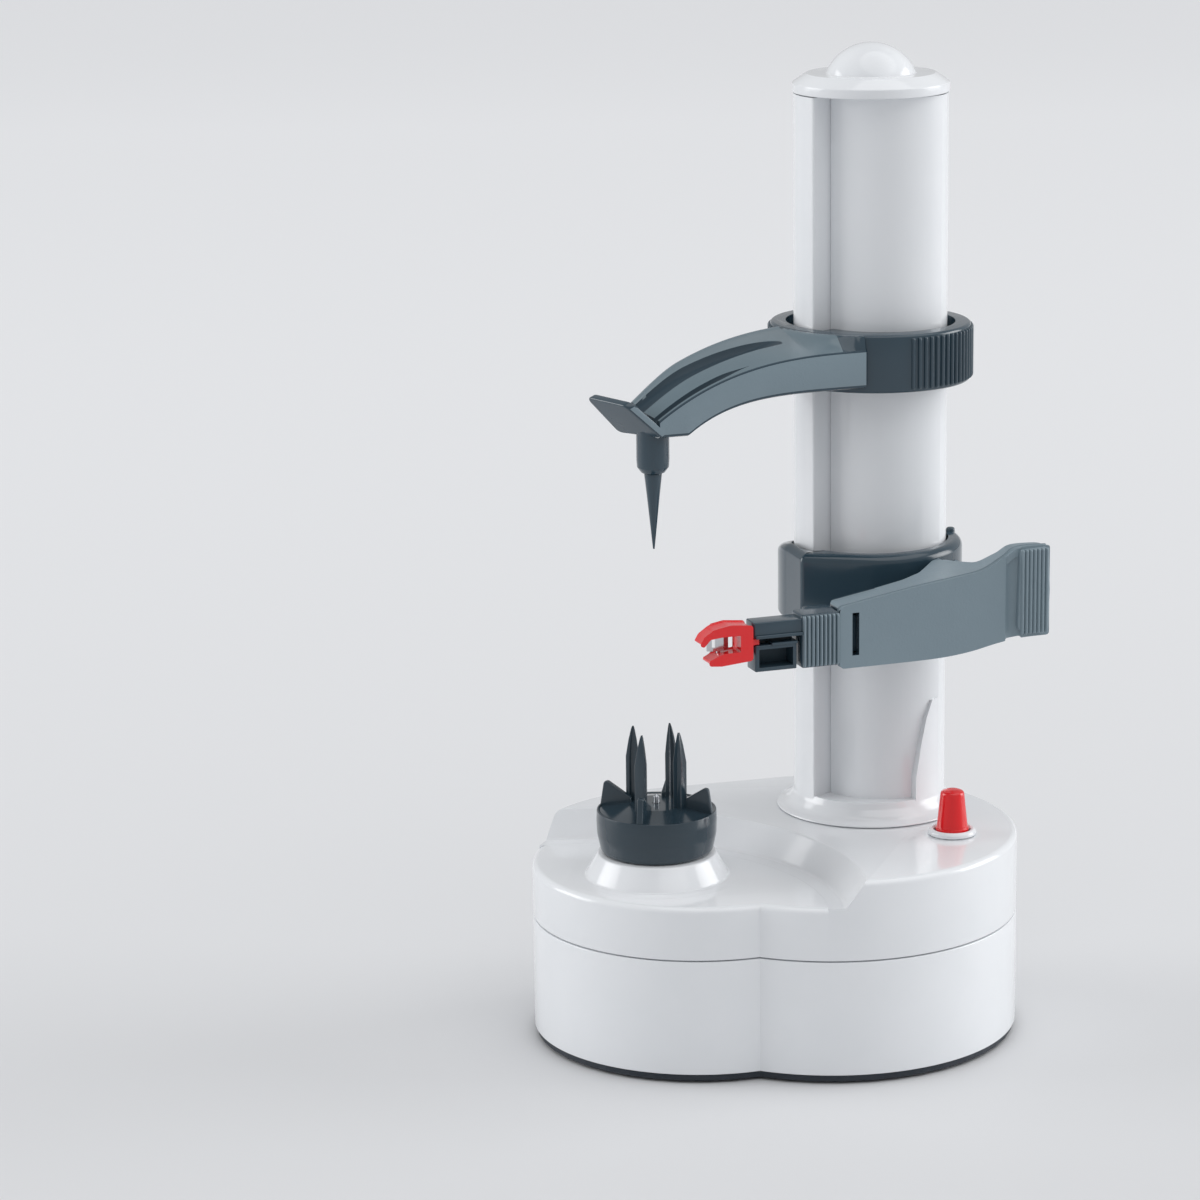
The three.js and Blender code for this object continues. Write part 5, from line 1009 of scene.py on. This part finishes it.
def pocketTest(facing, place, slack=0.2):  # the pocket's walls, without its rim, which get painted shade
    left, right, front, back, low, high, *_ = carrier["pocket"]
    across = left - slack < place.x < right + slack and low - slack < place.z < high + slack
    return across and front + carrier["pocketRim"] < place.y < back + slack


carrierPiece = finish(makeCarrier(), columnSpace, "carrier", "armGloss", ["blade_carrier"])
# painted shade on the pocket's walls
paint(carrierPiece, "armPaintedShade", pocketTest)
# the grip ribs take the arm plastic with its painted reflection
gripRibs = straightRibs("gripRibs", carrier)
finish(gripRibs, columnSpace, "carrier", "armSatinPaintedSheen", sharp=35)

head = {
    "back": [(-58.4, 123.8, 0.6), (-58.4, 133.3, 0.6), (-64.6, 133.9, 4), (-69.6, 133, 3), (-72.4, 131.3, 2)],
    "upperTip": [(-73.6, 129.3, 0.5), (-72.9, 129, 0.3), (-71, 131, 1.2), (-67.6, 131.4, 1.5)],
    "mouth": [(-61.4, 131.4, 0.8), (-61.4, 125.8, 0.8), (-66.6, 125.8, 1)],
    "lowerTip": [(-70.9, 124.2, 0.5), (-70.9, 123.3, 0.4), (-67.6, 123, 1)],
    "span": (-53.4, -46.6),
    "fruit": (28.4, 110, 150, 128),
    "tongue": (-59, -55, -50.4, -46.1, 127, 128.8, 0.2, 0.3),
    "pinHole": (0.75, 124.5, 132.7, 20, (-67, -48.6)),
}


def makeHead():
    path = head["back"] + head["upperTip"] + head["mouth"] + head["lowerTip"]
    body = plate("bladeHead", rounded(list(reversed(path)), steps=5), *head["span"], 0.4, "Y")
    cut(body, drum("fruit", *head["fruit"], fruitPlace[:2]))
    join(body, boxOf("tongue", *head["tongue"]))
    return cut(body, drum("pinHole", *head["pinHole"]))


finish(makeHead(), columnSpace, "carrier", "redGloss", ["blade_head"])
print("carrier and head ready")


# Fruit holder and centre pin
holder = {
    "barrel": [(0, 59.9), (15.8, 59.9, 0.5), (16.5, 60.8, 1.5), (17.45, 65.4, 6), (17.6, 69.4, 4)],
    "top": [(17.45, 72.4, 0.2), (17, 72.45, 0.15), (16.6, 72.15, 0.4), (8.2, 74, 2), (0, 74.1)],
    "fin": [(7.6, 70), (17, 70), (17, 72.6, 0.5), (15.9, 79.5, 0.8), (14.7, 79.7, 0.9), (7.6, 75.2, 0.8)],
    "finHalf": 0.9,
    "finTurns": (162, -18, -108, 72),
    "prongReach": 7.7,
    "prongTurns": (-122, -32, 58, 148),
    "prongLevels": ((67.5, 1), (87.3, 1), (92.3, 0.62), (95.3, 0.3), (96.3, 0.14)),  # height and scale
    "prongHalf": 1.7,
    "prongWeb": 1.3,
    "socket": (-3.7, 3.7, -2.9, 2.9, 55, 65.8),
    "pinHole": (1.2, 66, 80, 24),
    "pin": [(0, 67.2), (0.9, 67.2), (0.9, 76.1, 0.2), (0.2, 76.8, 0.1), (0, 76.8)],
}


def makeProng(degrees):
    half, web = holder["prongHalf"], holder["prongWeb"]
    inner, side = -half + web, web / 2
    section = [(-half, -half, 0.25), (half, -half, 0.25), (half, inner, 0.25), (side, inner, 0.3)]
    section += [(side, half, 0.3), (-side, half, 0.3), (-side, inner, 0.3), (-half, inner, 0.25)]
    outline = rounded(section, steps=3)
    rings = [[(x * scale, y * scale, z) for x, y in outline] for z, scale in holder["prongLevels"]]
    prong = skinOf("prong", rings)
    foot = Vector((*polar(holder["prongReach"], math.radians(degrees)), 0))
    prong.data.transform(Matrix.Translation(foot) @ Matrix.Rotation(math.radians(degrees + 90), 4, "Z"))
    return mergeDoubles(prong)


def makeHolder():
    barrel = lathe("fruitHolder", holder["barrel"] + holder["top"], 6, 128)
    half = holder["finHalf"]
    for degrees in holder["finTurns"]:
        fin = plate("fin", rounded(holder["fin"], steps=5), -half, half, 0.35, "Y")
        fin.data.transform(Matrix.Rotation(math.radians(degrees), 4, "Z"))
        join(barrel, fin)
    for degrees in holder["prongTurns"]:
        join(barrel, makeProng(degrees))
    return cut(barrel, boxOf("spindleSocket", *holder["socket"]), drum("pinHole", *holder["pinHole"]))


finish(makeHolder(), baseSpace, "turntable", "holderGloss", ["fruit_holder"])
centrePin = lathe("centrePin", holder["pin"], 3, 32)
finish(centrePin, baseSpace, "turntable", "shaftSteel", ["centre_pin"])


# Switch: bezel, button and spring
switch = {
    "bezel": [
        (5.3, 57.3, 0.1), (6.1, 57.3, 0.1), (6.1, 61), (7, 61, 0.15), (7, 61.9, 0.6),
        (6.4, 62.6, 0.5), (5.7, 62.6, 0.4), (5.3, 62, 0.3),
    ],
    "stem": [(0, 53.5), (2, 53.5, 0.2), (2, 61.7), (4.9, 61.7, 0.2), (4.9, 62.9, 0.4), (4.6, 62.9, 0.2)],
    "tip": [(3.45, 73.8, 1.1), (1.6, 74.4, 1.2), (0, 74.5)],
    "springRadius": 3.1,
    "wire": 0.42,
    "turns": 4,
    "springLow": 52.53,
    "springHigh": 61.34,
    "travel": 3,
    "springSteps": 24,
    "wireSteps": 10,
}
bezelPath = rounded(switch["bezel"], steps=4)
bezel = turned("switchBezel", bezelPath, 96, switchPlace[:2], loop=True)
finish(bezel, baseSpace, "base", "whiteGloss", ["switch_bezel"])
button = lathe("switchButton", switch["stem"] + switch["tip"], 5, 96, switchPlace[:2])
finish(button, baseSpace, "switch_button", "redGloss", ["switch_button"])


def makeSpring():
    s = switch
    wire, count = s["wire"], s["turns"] * s["springSteps"]
    rings = []
    for i in range(count + 1):
        heading = 2 * math.pi * i / s["springSteps"]
        middle = between(s["springLow"] + wire, s["springHigh"] - wire, i / count)
        ring = []
        for k in range(s["wireSteps"]):
            reach, rise = polar(wire, 2 * math.pi * k / s["wireSteps"], (s["springRadius"], middle))
            ring.append((*polar(reach, heading, switchPlace), rise))
        rings.append(ring)
    return mergeDoubles(skinOf("switchSpring", rings))


spring = finish(makeSpring(), baseSpace, "base", "springSteel", ["switch_spring"], 60)
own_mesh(spring)
print("holder and switch ready")


# Floor, light and close
studio = {
    "floorHalf": 6,
    "floorDrop": -0.0003,
    "floorPaintedFalloff": ((214, 215, 217), (247, 248, 250)),  # painted light falloff: darker near, lighter far
    "floorRange": (-0.35, 2.2),
    "floorRoughness": 0.6,
    "air": (228, 229, 231),
    "airStrength": 0.62,
    "sunStrength": 1.05,
    "sunAngle": 70,
    "sunTurn": (12, 14),
    "aim": (0, 0.1, 0.14),
    "lampSize": 2.3,
    "lampSpread": 70,
    "lamps": {"rightLight": ((3.4, 0.6, 1), 12.4), "leftLight": ((-3.4, 0.5, 1), 10.5)},  # place, power
}
half = studio["floorHalf"]
floorCorners = [(-half, -half, 0), (half, -half, 0), (half, half, 0), (-half, half, 0)]
floor = newPiece("floor", floorCorners, [(0, 1, 2, 3)])
floor.location.z = studio["floorDrop"]
paleFloor = bpy.data.materials.new("paleFloor")
paleFloor.use_nodes = True
floorNodes, floorLinks = paleFloor.node_tree.nodes, paleFloor.node_tree.links
floorPlace = floorNodes.new("ShaderNodeTexCoord")
floorDepth = floorNodes.new("ShaderNodeSeparateXYZ")
floorLinks.new(floorPlace.outputs["Object"], floorDepth.inputs["Vector"])
# painted light falloff across the floor, from the near tone to the far one
floorShare = rangeOf(paleFloor, floorDepth.outputs["Y"], studio["floorRange"])
near, far = (linear(*tone) for tone in studio["floorPaintedFalloff"])
floorShader = floorNodes["Principled BSDF"]
floorLinks.new(mixColour(paleFloor, floorShare, near, far), floorShader.inputs["Base Color"])
floorShader.inputs["Roughness"].default_value = studio["floorRoughness"]
floor.data.materials.append(paleFloor)

world = bpy.data.worlds.new("studio")
bpy.context.scene.world = world
world.use_nodes = True
airNodes, airLinks = world.node_tree.nodes, world.node_tree.links
lit, seen = airNodes["Background"], airNodes.new("ShaderNodeBackground")
for background in (lit, seen):
    background.inputs["Color"].default_value = linear(*studio["air"])
lit.inputs["Strength"].default_value = studio["airStrength"]
rays = airNodes.new("ShaderNodeLightPath")
blend = airNodes.new("ShaderNodeMixShader")
airLinks.new(rays.outputs["Is Camera Ray"], blend.inputs[0])
airLinks.new(lit.outputs["Background"], blend.inputs[1])
airLinks.new(seen.outputs["Background"], blend.inputs[2])
airLinks.new(blend.outputs["Shader"], airNodes["World Output"].inputs["Surface"])

sun = bpy.data.lights.new("topLight", "SUN")
sun.energy = studio["sunStrength"]
sun.angle = math.radians(studio["sunAngle"])
added("topLight", sun).rotation_euler = (*(math.radians(turn) for turn in studio["sunTurn"]), 0)
for name, (place, power) in studio["lamps"].items():
    lamp = bpy.data.lights.new(name, "AREA")
    lamp.energy = power
    lamp.size = studio["lampSize"]
    lamp.spread = math.radians(studio["lampSpread"])
    light = added(name, lamp)
    light.location = place
    light.rotation_euler = (Vector(studio["aim"]) - Vector(place)).to_track_quat("-Z", "Y").to_euler()
bpy.context.scene.view_settings.view_transform = "Standard"

bpy.context.view_layer.update()
